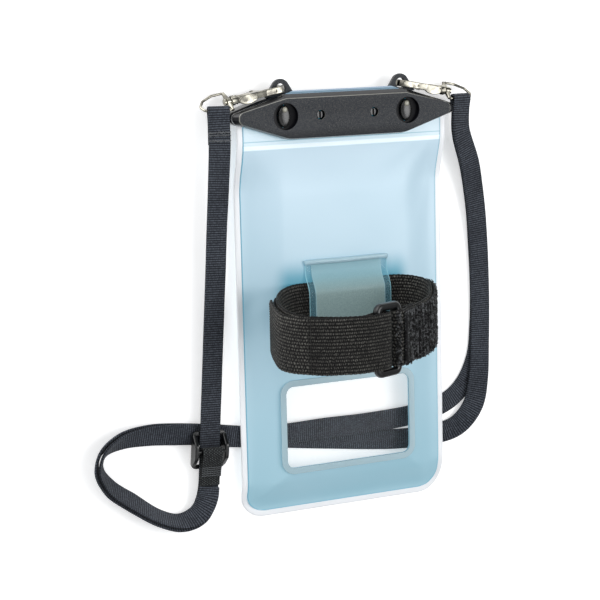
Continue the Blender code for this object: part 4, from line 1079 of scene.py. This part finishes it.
def addRim(s):
    # The weld: a clear strip round the film's sides and bottom, thin and round at its outer edge.
    half, low, radius = s["width"] / 2, s["bottom"], s["corner"]
    outline = []
    for i in range(60):
        outline.append((-half, s["clampY"] - (s["clampY"] - low - radius) * i / 60))
    for i in range(13):
        angle = pi + pi / 2 * i / 12
        outline.append((-half + radius + radius * cos(angle), low + radius + radius * sin(angle)))
    outline += [(-x, y) for x, y in outline[::-1]]
    route, sides = [], []
    for i, (x, y) in enumerate(outline):
        before, after = outline[max(i - 1, 0)], outline[min(i + 1, len(outline) - 1)]
        way = Vector((after[0] - before[0], after[1] - before[1], 0)).normalized()
        inward = Vector((-way.y, way.x, 0))
        point = Vector((x, y, 0)) + inward * (s["seam"] / 2 + 0.1 * mm)
        point.z = rimHeight(y) + 0.65 * mm
        route.append(point)
        sides.append(inward)
    profile = bandProfile(s["seam"] - 0.1 * mm, 0.9 * mm, 4, 4)
    place("weldedRim", sweep("weldedRim", route, sides, profile), rimFilm, "clear_film", "case")


addRim(pouch)


def addWindow(w):
    # Frame: a flat weld with a bead along both edges.
    half = w["frame"] / 2
    middle = box(w["width"] + w["frame"], w["height"] + w["frame"], w["corner"] + half, 0, w["y"], 8)
    route, sides = closedRoute(middle, w["low"] + 0.35 * mm)
    rise = [(half, 0), (half - 0.1 * mm, 0.25 * mm), (half - 0.35 * mm, 0.36 * mm), (half - 0.65 * mm, 0.2 * mm),
            (0.3 * mm, 0.08 * mm)]
    profile = [(-a, b) for a, b in rise] + rise[::-1]
    profile += [(half - 0.1 * mm, -0.2 * mm), (-half + 0.1 * mm, -0.2 * mm)]
    mesh = sweep("windowFrame", route, sides, profile, ends=False)
    place("windowFrame", shade(welded(mesh), 60), frameFilm, "clear_film", "case")

    def height(x, y):
        slack = ease((w["width"] / 2 - abs(x)) / (6 * mm)) * ease((w["height"] / 2 - abs(y - w["y"])) / (6 * mm))
        pull = 0.5 * noise.noise(Vector((x * 45, y * 60, 9))) + 0.6 * noise.noise(Vector((x * 90 - y * 60, y * 40, 2)))
        return w["low"] + 0.1 * mm - slack * (0.25 + 0.35 * pull) * mm

    def build(work):
        columns, rows, over = 72, 48, 0.6 * mm
        spots = [[((i / columns - 0.5) * (w["width"] + over), w["y"] + (j / rows - 0.5) * (w["height"] + over))
                  for i in range(columns + 1)] for j in range(rows + 1)]
        grid = [[work.verts.new((x, y, height(x, y))) for x, y in line] for line in spots]
        for face in joinRows(work, grid, closed=False):
            face.smooth = True

    film = thicken(meshFrom(build), w["film"])
    place("windowPane", film, windowClear, "clear_film", "case", "window_film")


addWindow(windowSizes)
print("pouch made")


# Clamp

def barOutline(s):
    y = s["y"]
    points = [(-s["half"], y - s["tip"]), (-s["flatLow"], y - s["low"]), (s["flatLow"], y - s["low"]),
              (s["half"], y - s["tip"]), (s["half"], y + s["tip"]), (s["flatTop"], y + s["top"]),
              (-s["flatTop"], y + s["top"]), (-s["half"], y + s["tip"])]
    return corner(points, [s["round"] * times for times in (1, 7, 7, 1, 1, 3, 3, 1)], 8)


def earOutline(s, sign):
    x, y, foot = sign * s["earX"], s["earY"], s["y"] + s["top"] - 2 * mm
    reach = 7.5 * mm
    angle = atan2(-(y - foot), reach) + pi / 2 - 0.42
    points = [(x - reach, foot), (x + reach, foot)]
    return points + [(x + s["earRadius"] * cos(angle + (pi - 2 * angle) * i / 20),
                      y + s["earRadius"] * sin(angle + (pi - 2 * angle) * i / 20)) for i in range(21)]


def slopedBar(s):
    # The face is smaller than the bar: its upper edge and its tips slope down to the sides.
    face = dict(s, half=s["half"] - s["slope"], top=s["top"] - s["slope"], low=s["low"] - 0.7 * mm)
    low, top = s["backZ"], s["backZ"] + s["backThick"]
    # Its upper side lies a little further in than the front bar's, so that the hooks clear it as they swivel.
    wide = [Vector((p.x, p.y - s["stepBack"] * ease((p.y - s["y"]) / (6 * mm)))) for p in barOutline(s)]
    inner = barOutline(face)
    nearly = [a.lerp(b, 0.88) for a, b in zip(wide, inner)]
    inset = [Vector((p.x * 0.994, s["y"] + (p.y - s["y"]) * 0.97)) for p in wide]
    rows = [(low, inset), (low + 0.3 * mm, wide), (top - s["slope"] + 0.3 * mm, wide), (top - 0.25 * mm, nearly),
            (top, inner)]

    def build(work):
        rings = [[work.verts.new((p.x, p.y, z)) for p in outline] for z, outline in rows]
        joinRows(work, rings)
        work.faces.new(rings[0])
        work.faces.new(rings[-1])

    return meshFrom(build)


def addClamp(s):
    y, top = s["y"], s["backZ"] + s["backThick"]
    joins, cuts, backCuts = [], [], []
    for sign in (-1, 1):
        lock, peg = sign * s["lockX"], sign * s["pegX"]
        joins += [plate([earOutline(s, sign)], s["earZ"], s["earThick"], 0.35 * mm),
                  drill(s["peg"], peg, y, 7.5 * mm, 5.8 * mm)]
        # Eyelet, the knob's recess, the lock's bore and the peg's split
        cuts += [drill(s["earHole"], sign * s["earX"], s["earY"], 4 * mm, 8 * mm),
                 drill(s["knob"], lock, y, -2 * mm, 5.7 * mm), drill(s["bore"], lock, y, -2 * mm, 14 * mm),
                 plate([rectangle(0.7 * mm, 6 * mm, peg, y)], 9 * mm, 6 * mm)]
        backCuts += [drill(s["recess"], lock, y, top - s["recessDeep"], 6 * mm, steps=56),
                     drill(s["slot"], lock, y, 8 * mm, 8 * mm, 1.645), drill(s["pegHole"], peg, y, 8 * mm, 8 * mm)]
    front = softened(cutAndJoin(plate([barOutline(s)], 0, s["frontThick"], s["edge"], 3), cuts, joins), 0.15 * mm)
    place("frontBar", shade(front, 45), barPlastic, "dark_plastic", "case", "clamp_front_bar")
    back = softened(cutAndJoin(slopedBar(s), backCuts), 0.12 * mm, 2, 40)
    place("backBar", shade(back, 30), barPlastic, "dark_plastic", "back_bar", "clamp_back_bar")


addClamp(clamp)


def addLocks(s):
    for sign, side in ((-1, "left"), (1, "right")):
        x, y = sign * s["lockX"], s["y"]
        centre = Matrix.Translation((x, y, 0))
        head = turned([(12.2, 2.5), (12.3, 2.9), (12.7, 2.88), (13.1, 2.6), (13.35, 2.0), (13.5, 1.0), (13.52, 0.3)],
                      centre @ Matrix.Diagonal((1, 1.68, 1, 1)), 44)
        shaft = turned([(3.3, 2.2), (12.6, 2.2)], centre)
        knob = turned([(2.1, 5.6), (2.3, 6), (3.2, 6), (3.4, 5.7)], centre, 48)
        grip = plate([box(9 * mm, 2.4 * mm, 0.8 * mm, x, y)], 0.5 * mm, 1.8 * mm, 0.3 * mm)
        pip = turned([(13.0, 1.3), (13.6, 1.25), (13.9, 1.0), (14.0, 0.5)],
                     Matrix.Translation((x, y + 3.0 * mm, 0)), 20)
        mesh = cutAndJoin(head, (), [shaft, knob, grip, pip])
        place(side + "Lock", shade(mesh, 40), lockPlastic, "dark_plastic", side + "_lock", "twist_lock_" + side)


addLocks(clamp)
print("clamp made")


# Belt loop: a frosted strip with clear borders and a bead across each end

# beadY and the profile are in millimetres: along the case, and up.
beltLoop = {"width": 41.6 * mm, "thick": 0.5 * mm, "border": 3.5 * mm, "bead": 1.15 * mm, "beadY": (17.3, -25.5),
            "profile": [(-26.5, 9.45), (-21.5, 9.45), (-18.6, 10.29), (-15.7, 12.03), (-12.8, 13.49), (-9.9, 13.75),
                        (-7, 13.75), (-4.1, 13.75), (-1.2, 13.75), (1.7, 13.75), (4.6, 13.49), (7.5, 12.03),
                        (10.4, 10.29), (13.3, 9.45), (18.3, 9.45)]}


def makeLoopFilm(s):
    # Frosted and nearly opaque in the middle, with clear bluish borders that the band shows through.
    material, tree, sockets = startMaterial("frostedStrip", rgb(144, 172, 174), 0.5, Coat_Weight=0.1)
    frost = addGroup(frostGroup, Vector=objectSpace(tree), Speckle=2600.0)
    across, along = split(stripSpace(tree))[:2]
    reach = calc("ABSOLUTE", across)
    halfWidth, border = s["width"] / 2 / mm, s["border"] / mm
    seam = halfWidth - border
    inner = ramp(reach, seam + 0.1, seam - 0.1)
    weldLine = within(reach, seam, seam + 0.35, 0.08)
    edge = calc("GREATER_THAN", reach, halfWidth - 0.3)
    speck = mix(frost["Height"], rgb(124, 152, 152), rgb(182, 210, 210))
    speck = mix(ramp(along, 30.0, 41.0, 0.0, 0.75), speck, rgb(150, 198, 212))
    color = mix(inner, rgb(112, 172, 190), speck)
    color = mix(weldLine, color, rgb(176, 214, 222))
    link(mix(edge, color, rgb(165, 222, 236)), sockets["Base Color"])
    alpha = calc("MULTIPLY_ADD", inner, 0.42, 0.2)
    alpha = calc("ADD", alpha, calc("MULTIPLY", calc("ADD", weldLine, edge), 0.35))
    link(alpha, sockets["Alpha"])
    addBump(sockets, frost["Height"], 0.5, 0.0001)
    return material


loopFilm = makeLoopFilm(beltLoop)


def addBeltLoop(s):
    points = smoothRoute([Vector((0, y, z)) * mm for y, z in s["profile"]], 6)
    route, sides = evenRoute(points, [Vector((1, 0, 0))] * len(points), 0.8 * mm)
    place("beltLoop", sweep("beltLoop", route, sides, bandProfile(s["width"], s["thick"], 2, 40)), loopFilm,
          "blue_film", "case", "belt_loop")
    beads, half = [], s["width"] / 2 / mm
    profile = [(s["bead"] * cos(2 * pi * k / 14), 0.6 * mm * sin(2 * pi * k / 14)) for k in range(14)]
    for y in s["beadY"]:
        points = ((-half - 0.2, y - 0.25, 9.6), (-half + 0.6, y, 9.75), (0, y, 9.8), (half - 0.6, y, 9.75),
                  (half + 0.2, y - 0.25, 9.6))
        route = smoothRoute([Vector(point) * mm for point in points], 8)
        beads.append(sweep("bead", route, [Vector((0, 1, 0))] * len(route), profile))
    place("loopBeads", shade(merged(beads), 60), beadFilm, "clear_film", "case")


addBeltLoop(beltLoop)
print("belt loop made")


# Armband

# The first four values and the path are in millimetres. loopStart counts sixths of a step along the path.
armband = {"y": -4.2, "slip": 6.3, "slipZ": 57, "restZ": 9.9, "width": 25 * mm, "thick": 1.4 * mm, "ribs": 17,
           "ribDepth": 0.3 * mm, "pile": 1.2 * mm, "pileGap": 1.7 * mm, "tape": 0.8 * mm, "tapeGap": 1.4 * mm,
           "seamX": -42 * mm, "loopStart": 27, "ridge": 2.9 * mm, "pick": 1.3 * mm}
elasticPath = [
    (12.29, 51.0), (5.57, 55.32), (-2.09, 58.2), (-3.22, 59.84), (-2.85, 61.8), (-1.21, 62.92), (0.74, 62.56),
    (6.52, 56.8), (13.24, 52.48), (21.5, 46.2), (29.5, 36), (33.5, 25), (31.5, 16.5), (27, 11.3), (22.5, 9.9),
    (11.25, 9.9), (0, 9.9), (-11.25, 9.9), (-22.5, 9.9), (-28.5, 12), (-36, 18), (-42.5, 27), (-45.6, 37), (-45, 47),
    (-40, 56), (-33.5, 61.5), (-26.5, 65.2), (-20.14, 66.53), (-13.22, 62.18), (-9.36, 60.78), (-7.37, 60.86),
    (-6.03, 62.33), (-6.12, 64.32), (-7.58, 65.66), (-11.44, 67.06), (-19.54, 68.18), (-25.72, 67.35),
    (-35.5, 64.4), (-44.2, 57.5), (-49.6, 47.5), (-48.48, 36.64), (-45.6, 26.6), (-43.6, 22.6)]
# Where the pile and the hook tape lie, as steps along the path
pileSpan, tapeSpan = (6, 12), (20.5, 22)


def leant(point):
    # The band leans: its upper part lies further down the case.
    s = armband
    slip = s["slip"] * mm * ease((point.z / mm - s["restZ"]) / (s["slipZ"] - s["restZ"]))
    return Vector((point.x, s["y"] * mm - slip, point.z))


def smoothBand(steps=6):
    return smoothRoute([Vector((x, 0, z)) * mm for x, z in elasticPath], steps)


def bandRoute(points, spacing):
    route = [leant(point) for point in points]
    return evenRoute(route, [Vector((0, -1, 0))] * len(route), spacing)


def besideBand(span, distance, steps=6):
    # Part of the band's own route, moved to the outside by distance.
    route = smoothBand(steps)[int(span[0] * steps):int(span[1] * steps) + 1]
    moved = []
    for i, point in enumerate(route):
        way = (route[min(i + 1, len(route) - 1)] - route[max(i - 1, 0)]).normalized()
        moved.append(point + Vector((-way.z, 0, way.x)) * distance)
    return moved


def ribbedProfile(s):
    half, thick, count = s["width"] / 2, s["thick"], s["ribs"] * 4
    top = [(-half + 0.5 * mm + (s["width"] - 1 * mm) * i / count,
            thick / 2 - s["ribDepth"] * (1 - abs(sin(pi * i / 4)))) for i in range(count + 1)]
    right = [(half - 0.15 * mm, thick * 0.3), (half, 0), (half - 0.15 * mm, -thick * 0.3)]
    return top + right + [(-a, -b) for a, b in top + right]


def addElastic(s):
    route, sides = bandRoute(smoothBand(), 0.8 * mm)
    long = routeLength(route)

    def rough(along, a, b):
        # The edges pull in and out a little, each rib is a row of small knots, and the free end is rounded.
        a *= 1 - 0.3 * ease((along - long + 7 * mm) / (7 * mm))
        knot = sin(along * 2 * pi / s["pick"])
        edge = ease((abs(a) - 11.4 * mm) / (1 * mm)) * knot * 0.12 * mm
        wave = noise.noise(Vector((along * 90, 5, 1))) * 0.25 * mm * ease(abs(a) / (12 * mm))
        return a + (wave + edge) * (1 if a > 0 else -1), b * (1 + 0.05 * knot)

    profile = ribbedProfile(s)
    mesh = sweep("armbandElastic", route, sides, profile, rough)
    # The outer layer, from the buckle to its seam, has a finer weave.
    wrapped = max(range(len(route)), key=lambda i: route[i].z + (route[i].x if i > len(route) // 2 else -1))
    seam = next(i for i in range(wrapped, len(route)) if route[i].x < s["seamX"])
    first = next(i for i in range(len(route) // 2, len(route)) if route[i].z > 62 * mm and route[i].x > -8 * mm)
    fine = mesh.attributes.new("fineWeave", "FLOAT", "POINT")
    fine.data.foreach_set("value", [float(first <= i // len(profile) <= seam) for i in range(len(mesh.vertices))])
    place("armbandElastic", mesh, elasticWeb, "black_elastic", "case", "armband_elastic")
    point, across, up, forward = routeFrames(route, sides)[seam]
    rows = [[point + forward * shift + across * (11.6 * mm * (i / 6 - 1))
             + up * (0.75 * mm if up.z > 0 else -0.75 * mm) for i in range(13)] for shift in (-0.5 * mm, 0.5 * mm)]
    stitches("bandStitches", rows, "case", "black_elastic", seamThread, Spacing=0.8 * mm, Length=0.9 * mm,
             Radius=0.14 * mm, Seed=7)


addElastic(armband)


def makePileTree():
    # Small thread loops scattered over a strip.
    tree, given, result = openTree("Geometry", "threadLoops", [
        ("Strip", "Geometry"), ("Density", "Float", 2e6), ("Loop Radius", "Float", 0.0005),
        ("Thread Radius", "Float", 0.0001), ("Seed", "Int", 1), ("Thread", "Material")], [("Loops", "Geometry")])
    spots = put(tree, "GeometryNodeDistributePointsOnFaces", {"Mesh": given["Strip"], "Density": given["Density"],
                                                              "Seed": given["Seed"]}).outputs
    arc = put(tree, "GeometryNodeCurveArc", {"Resolution": 6, "Radius": given["Loop Radius"], "Start Angle": -0.5,
                                             "Sweep Angle": 4.2}).outputs[0]
    upright = put(tree, "GeometryNodeTransform", {"Geometry": arc, "Rotation": (pi / 2, 0.0, 0.0)}).outputs[0]
    thread = put(tree, "GeometryNodeCurvePrimitiveCircle", {"Resolution": 4,
                                                            "Radius": given["Thread Radius"]}).outputs[0]
    loop = put(tree, "GeometryNodeCurveToMesh", {"Curve": upright, "Profile Curve": thread}).outputs[0]
    size = put(tree, "FunctionNodeRandomValue", {2: 0.6, 3: 1.25, "Seed": given["Seed"]}).outputs[1]
    return scatter(tree, given, result, spots, loop, randomTurn(tree, given, (0.5, 0.5, 3.1)), size)


pileTree = makePileTree()


def addPile(s):
    route, sides = bandRoute(besideBand(pileSpan, s["pileGap"]), 0.6 * mm)

    def crumple(along, a, b):
        # Upright ridges of pile with gaps between them.
        ridge = sin(along * 2 * pi / s["ridge"] + 1.2 * noise.noise(Vector((along * 160, a * 90, 7)))) * 0.3 * mm
        lumps = noise.noise(Vector((along * 420, a * 330, 2))) * 0.3 * mm
        edge = noise.noise(Vector((along * 300, 1, 4))) * 0.5 * mm * ease(abs(a) / (12 * mm))
        return a + edge * (1 if a > 0 else -1), b + (ridge + lumps - 0.1 * mm if b > 0 else 0)

    profile = bandProfile(s["width"] - 1 * mm, s["pile"], 3, 60)
    place("loopPile", sweep("loopPile", route, sides, profile, crumple), pileWeb, "black_elastic", "case",
          "armband_loop_pile")
    # The loops start on the fold round the buckle and go on over the pile.
    wide = smoothBand(6)[s["loopStart"]:pileSpan[1] * 6 - 1]
    bed, bedSides = bandRoute(wide, 0.45 * mm)

    def build(work):
        grid, along = [], 0
        frames = routeFrames(bed, bedSides)
        for i, (point, across, up, forward) in enumerate(frames):
            along += (point - frames[max(i - 1, 0)][0]).length
            lift = (0.75 + 1.45 * ease((along / mm - 1.5) / 4)) * mm
            line = []
            for k in range(41):
                a = (k / 20 - 1) * 11.9 * mm
                wave = sin(along * 2 * pi / s["ridge"] + 1.4 * noise.noise(Vector((along * 90, a * 110, 7))))
                line.append((work.verts.new(point + across * a + up * (lift + 0.3 * mm * wave)), wave))
            grid.append(line)
        # Loops stand on the ridges only.
        for low, high in zip(grid, grid[1:]):
            for k in range(len(low) - 1):
                if low[k][1] > -0.35:
                    work.faces.new((low[k][0], low[k + 1][0], high[k + 1][0], high[k][0]))

    loops = grown(scratch("pileStrip", meshFrom(build)), pileTree, {
        "Density": 2.6e6, "Loop Radius": 0.45 * mm, "Thread Radius": 0.17 * mm, "Seed": 11, "Thread": pileThread})
    place("pileLoops", loops, pileThread, "black_elastic", "case")


addPile(armband)


def addHookTape(s):
    route, sides = bandRoute(besideBand(tapeSpan, s["tapeGap"]), 0.8 * mm)
    place("hookTape", sweep("hookTape", route, sides, bandProfile(s["width"] - 4 * mm, s["tape"], 2, 20)), hookWeb,
          "black_elastic", "case", "armband_hook_tape")


addHookTape(armband)

buckle = {"place": Vector((-6.5, -10.5, 62.5)) * mm, "tilt": radians(20), "span": 12.4 * mm, "long": 29.2 * mm,
          "wire": 1.75 * mm, "round": 2 * mm}


def addBuckle(s):
    # A moulded frame: its bars are a little flat on top.
    route, sides = closedRoute(box(s["span"], s["long"], s["round"], steps=8))
    profile = []
    for k in range(20):
        a, b = cos(2 * pi * k / 20), sin(2 * pi * k / 20)
        profile.append((s["wire"] * abs(a) ** 0.7 * (1 if a > 0 else -1),
                        s["wire"] * abs(b) ** 0.75 * (1 if b > 0 else -1)))
    mesh = welded(sweep("buckle", route, sides, profile, ends=False))
    mesh.transform(Matrix.Translation(s["place"]) @ Matrix.Rotation(s["tilt"], 4, "Y"))
    place("armbandBuckle", shade(mesh, 60), blackGloss, "black_plastic", "case", "armband_buckle")


addBuckle(buckle)
print("armband made")


# Snap hooks and rings: the solids' shapes with rolled edges

hook = {"turn": radians(10.5), "reach": 25.2 * mm, "thick": 3.0 * mm, "z": 6.9 * mm, "edge": 0.36 * mm,
        "pinX": 12.2 * mm, "pinZ": -3.3 * mm, "gateThick": 1.5 * mm, "slotTop": -0.6 * mm,
        "springX": 10.2 * mm, "springRadius": 0.55 * mm, "springLow": -2.2 * mm, "springHigh": -0.85 * mm,
        # These and the outlines are in millimetres.
        "collar": 2.3, "bore": 0.95, "pinHole": 0.8,
        "body": [(23.8, 2.0), (21.0, 2.6), (12.5, 3.4), (8.0, 4.3), (3.5, 4.5), (0.6, 4.1), (-0.9, 2.9), (-1.35, 1.2),
                 (-1.35, -3.6), (-0.5, -5.2), (1.2, -5.4), (1.5, -4.5), (0.35, -3.9), (0.15, -2.8), (0.15, 1.2),
                 (0.8, 2.6), (3.5, 3.0), (7.6, 2.6), (9.3, 1.4), (9.6, -1.6), (10.2, -4.9), (13.8, -5.0),
                 (15.2, -3.2), (17.0, -2.2), (23.8, -2.0)],
        "gate": [(0.7, -3.9), (0.7, -3.2), (2.0, -3.0), (9.2, -2.9), (11.6, -2.1), (13.8, -2.6), (16.2, -3.5),
                 (18.4, -4.1), (18.6, -5.0), (16.2, -4.8), (13.8, -4.8), (11.0, -4.7), (9.0, -4.3), (2.2, -4.2)]}
ringSizes = {"roll": radians(50), "wire": 0.62 * mm, "half": 5.5 * mm, "deep": 13.2 * mm, "slope": 0.288,
             "bore": 0.95}  # the bore in millimetres


def hookMatrix(sign):
    mirror = Matrix.Diagonal((-1, 1, 1, 1)) if sign > 0 else Matrix()
    return (Matrix.Translation((sign * clamp["earX"], clamp["earY"], hook["z"]))
            @ Matrix.Rotation(pi - sign * hook["turn"], 4, "Z") @ mirror)


def standing(outline, thickness, edge, radius):
    mesh = plate([corner([Vector(p) * mm for p in outline], radius, 3)], -thickness / 2, thickness, edge, 3)
    mesh.transform(Matrix.Rotation(pi / 2, 4, "X"))
    return welded(mesh)


def alongX(profile):
    return turned(profile, Matrix.Rotation(pi / 2, 4, "Y"), 28)


def alongY(profile, x, z):
    return turned(profile, Matrix.Translation((x, 0, z)) @ Matrix.Rotation(pi / 2, 4, "X"), 20)


def finishHook(mesh, sign, name, body, node):
    mesh.transform(hookMatrix(sign))
    place(name, shade(welded(mesh), 40), nickelPlate, "nickel", body, node)


def addHook(s, sign, side):
    body = standing(s["body"], s["thick"], s["edge"], 0.4 * mm)
    r, end = s["collar"], s["reach"] / mm - 1.2
    collar = alongX([(end - 3.4, 1.7), (end - 3.2, r - 0.35), (end - 2.7, r - 0.1), (end - 2.3, r - 0.45),
                     (end - 1.9, r - 0.45), (end - 1.6, r), (end - 0.25, r), (end, r - 0.25)])
    spine = alongX([(14.5, 1.1), (15.5, 1.75), (20.0, 1.9), (end - 3.0, 1.8)])
    spine.transform(Matrix.Translation((0, 0, 0.9 * mm)))
    thumbPlate = plate([ring(2.1 * mm, 0, 0)], -0.4 * mm, 0.8 * mm, 0.3 * mm, 3)
    thumbPlate.transform(Matrix.Translation((16.6 * mm, 0.7 * mm, 2.75 * mm)) @ Matrix.Rotation(0.1, 4, "X")
                         @ Matrix.Diagonal((2.2, 1, 1, 1)))
    eye = alongY([(-1.75, 0.7), (-1.6, 1.0), (1.6, 1.0), (1.75, 0.7)], s["pinX"], s["pinZ"])
    slot = plate([rectangle(9.5 * mm, 2.1 * mm, 13.75 * mm, 0)], -6.6 * mm, 6 * mm)
    pinHole = alongY([(-3, s["pinHole"]), (3, s["pinHole"])], s["pinX"], s["pinZ"])
    bore = alongX([(end - 2.4, s["bore"]), (end + 1, s["bore"])])
    notch = plate([box(5 * mm, 1.1 * mm, 0.4 * mm, 5.6 * mm)], 3.9 * mm, 3 * mm)
    mesh = cutAndJoin(body, [slot, pinHole, bore, notch], [collar, spine, thumbPlate, eye])
    finishHook(mesh, sign, side + "Hook", side + "_hook", "hook_" + side)


def addGate(s, sign, side):
    gate = standing(s["gate"], s["gateThick"], 0.2 * mm, 0.2 * mm)
    thumb = alongY([(-1.15, 0.55), (-1.0, 0.75), (1.0, 0.75), (1.15, 0.55)], 18.2 * mm, -4.5 * mm)
    pinHole = alongY([(-3, s["pinHole"]), (3, s["pinHole"])], s["pinX"], s["pinZ"])
    finishHook(cutAndJoin(gate, [pinHole], [thumb]), sign, side + "Gate", side + "_gate", "gate_" + side)


def addSpring(s, sign, side):
    # A short coil between the gate and the hook. The real spring flattens as the gate is pressed; this coil keeps one
    # shape.
    coil = [(s["springX"] + s["springRadius"] * cos(pi * i / 8), s["springRadius"] * sin(pi * i / 8),
             s["springLow"] + (s["springHigh"] - s["springLow"]) * i / 40) for i in range(41)]
    mesh = tube(coil, 0.15 * mm, resolution=2)
    mesh.transform(hookMatrix(sign))
    spring = place(side + "Spring", shade(mesh, 60), nickelPlate, "nickel", side + "_hook", "gate_spring_" + side)
    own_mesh(spring)


def addRing(s, sign, side):
    # The cast bar with its boss, the wire and the stud whose head shows inside the ring.
    tip = s["deep"] - 1.2 * mm
    points = [(0, -s["half"]), (0, s["half"]), (tip, s["half"] - s["slope"] * tip), (s["deep"], -0.5 * mm),
              (s["deep"] * 0.82, -3.6 * mm), (s["deep"] * 0.45, -s["half"])]
    wire = tube([(p.x, p.y, 0) for p in corner(points, 1.3 * mm, 6)], s["wire"], True, 5)
    half, reach = s["half"] / mm, hook["reach"] / mm
    bar = turned([(-half, 0.62), (-half * 0.7, 0.95), (-half * 0.4, 1.15), (half * 0.4, 1.15), (half * 0.7, 0.95),
                  (half, 0.62)], Matrix.Rotation(-pi / 2, 4, "X"), 24)
    shape = cutAndJoin(wire, (), [bar])
    shape.transform(Matrix.Translation((hook["reach"], 0, 0)) @ Matrix.Rotation(s["roll"], 4, "X"))
    boss = alongX([(reach - 0.9, 1.6), (reach - 0.75, 1.9), (reach + 0.75, 1.9), (reach + 0.9, 1.6)])
    hole = alongX([(reach - 4, s["bore"]), (reach + 4, s["bore"])])
    finishHook(cutAndJoin(shape, [hole], [boss]), sign, side + "Ring", "case", "lanyard_ring_" + side)
    stud = alongX([(reach - 3.3, 0.75), (reach + 1.15, 0.75), (reach + 1.2, 1.35), (reach + 1.35, 1.6),
                   (reach + 1.9, 1.6), (reach + 2.1, 1.35)])
    finishHook(stud, sign, side + "Stud", side + "_hook", "swivel_stud_" + side)


for sign, side in ((-1, "left"), (1, "right")):
    addHook(hook, sign, side)
    addGate(hook, sign, side)
    addSpring(hook, sign, side)
    addRing(ringSizes, sign, side)

# The small pieces that keep their solids get their finish here.
for nodeName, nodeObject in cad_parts.items():
    if not nodeObject.hide_render:
        nodeObject.data.materials.clear()
        nodeObject.data.materials.append(foamGrey if nodeName == "clamp_seal" else nickelPlate)
print("hooks and rings made")
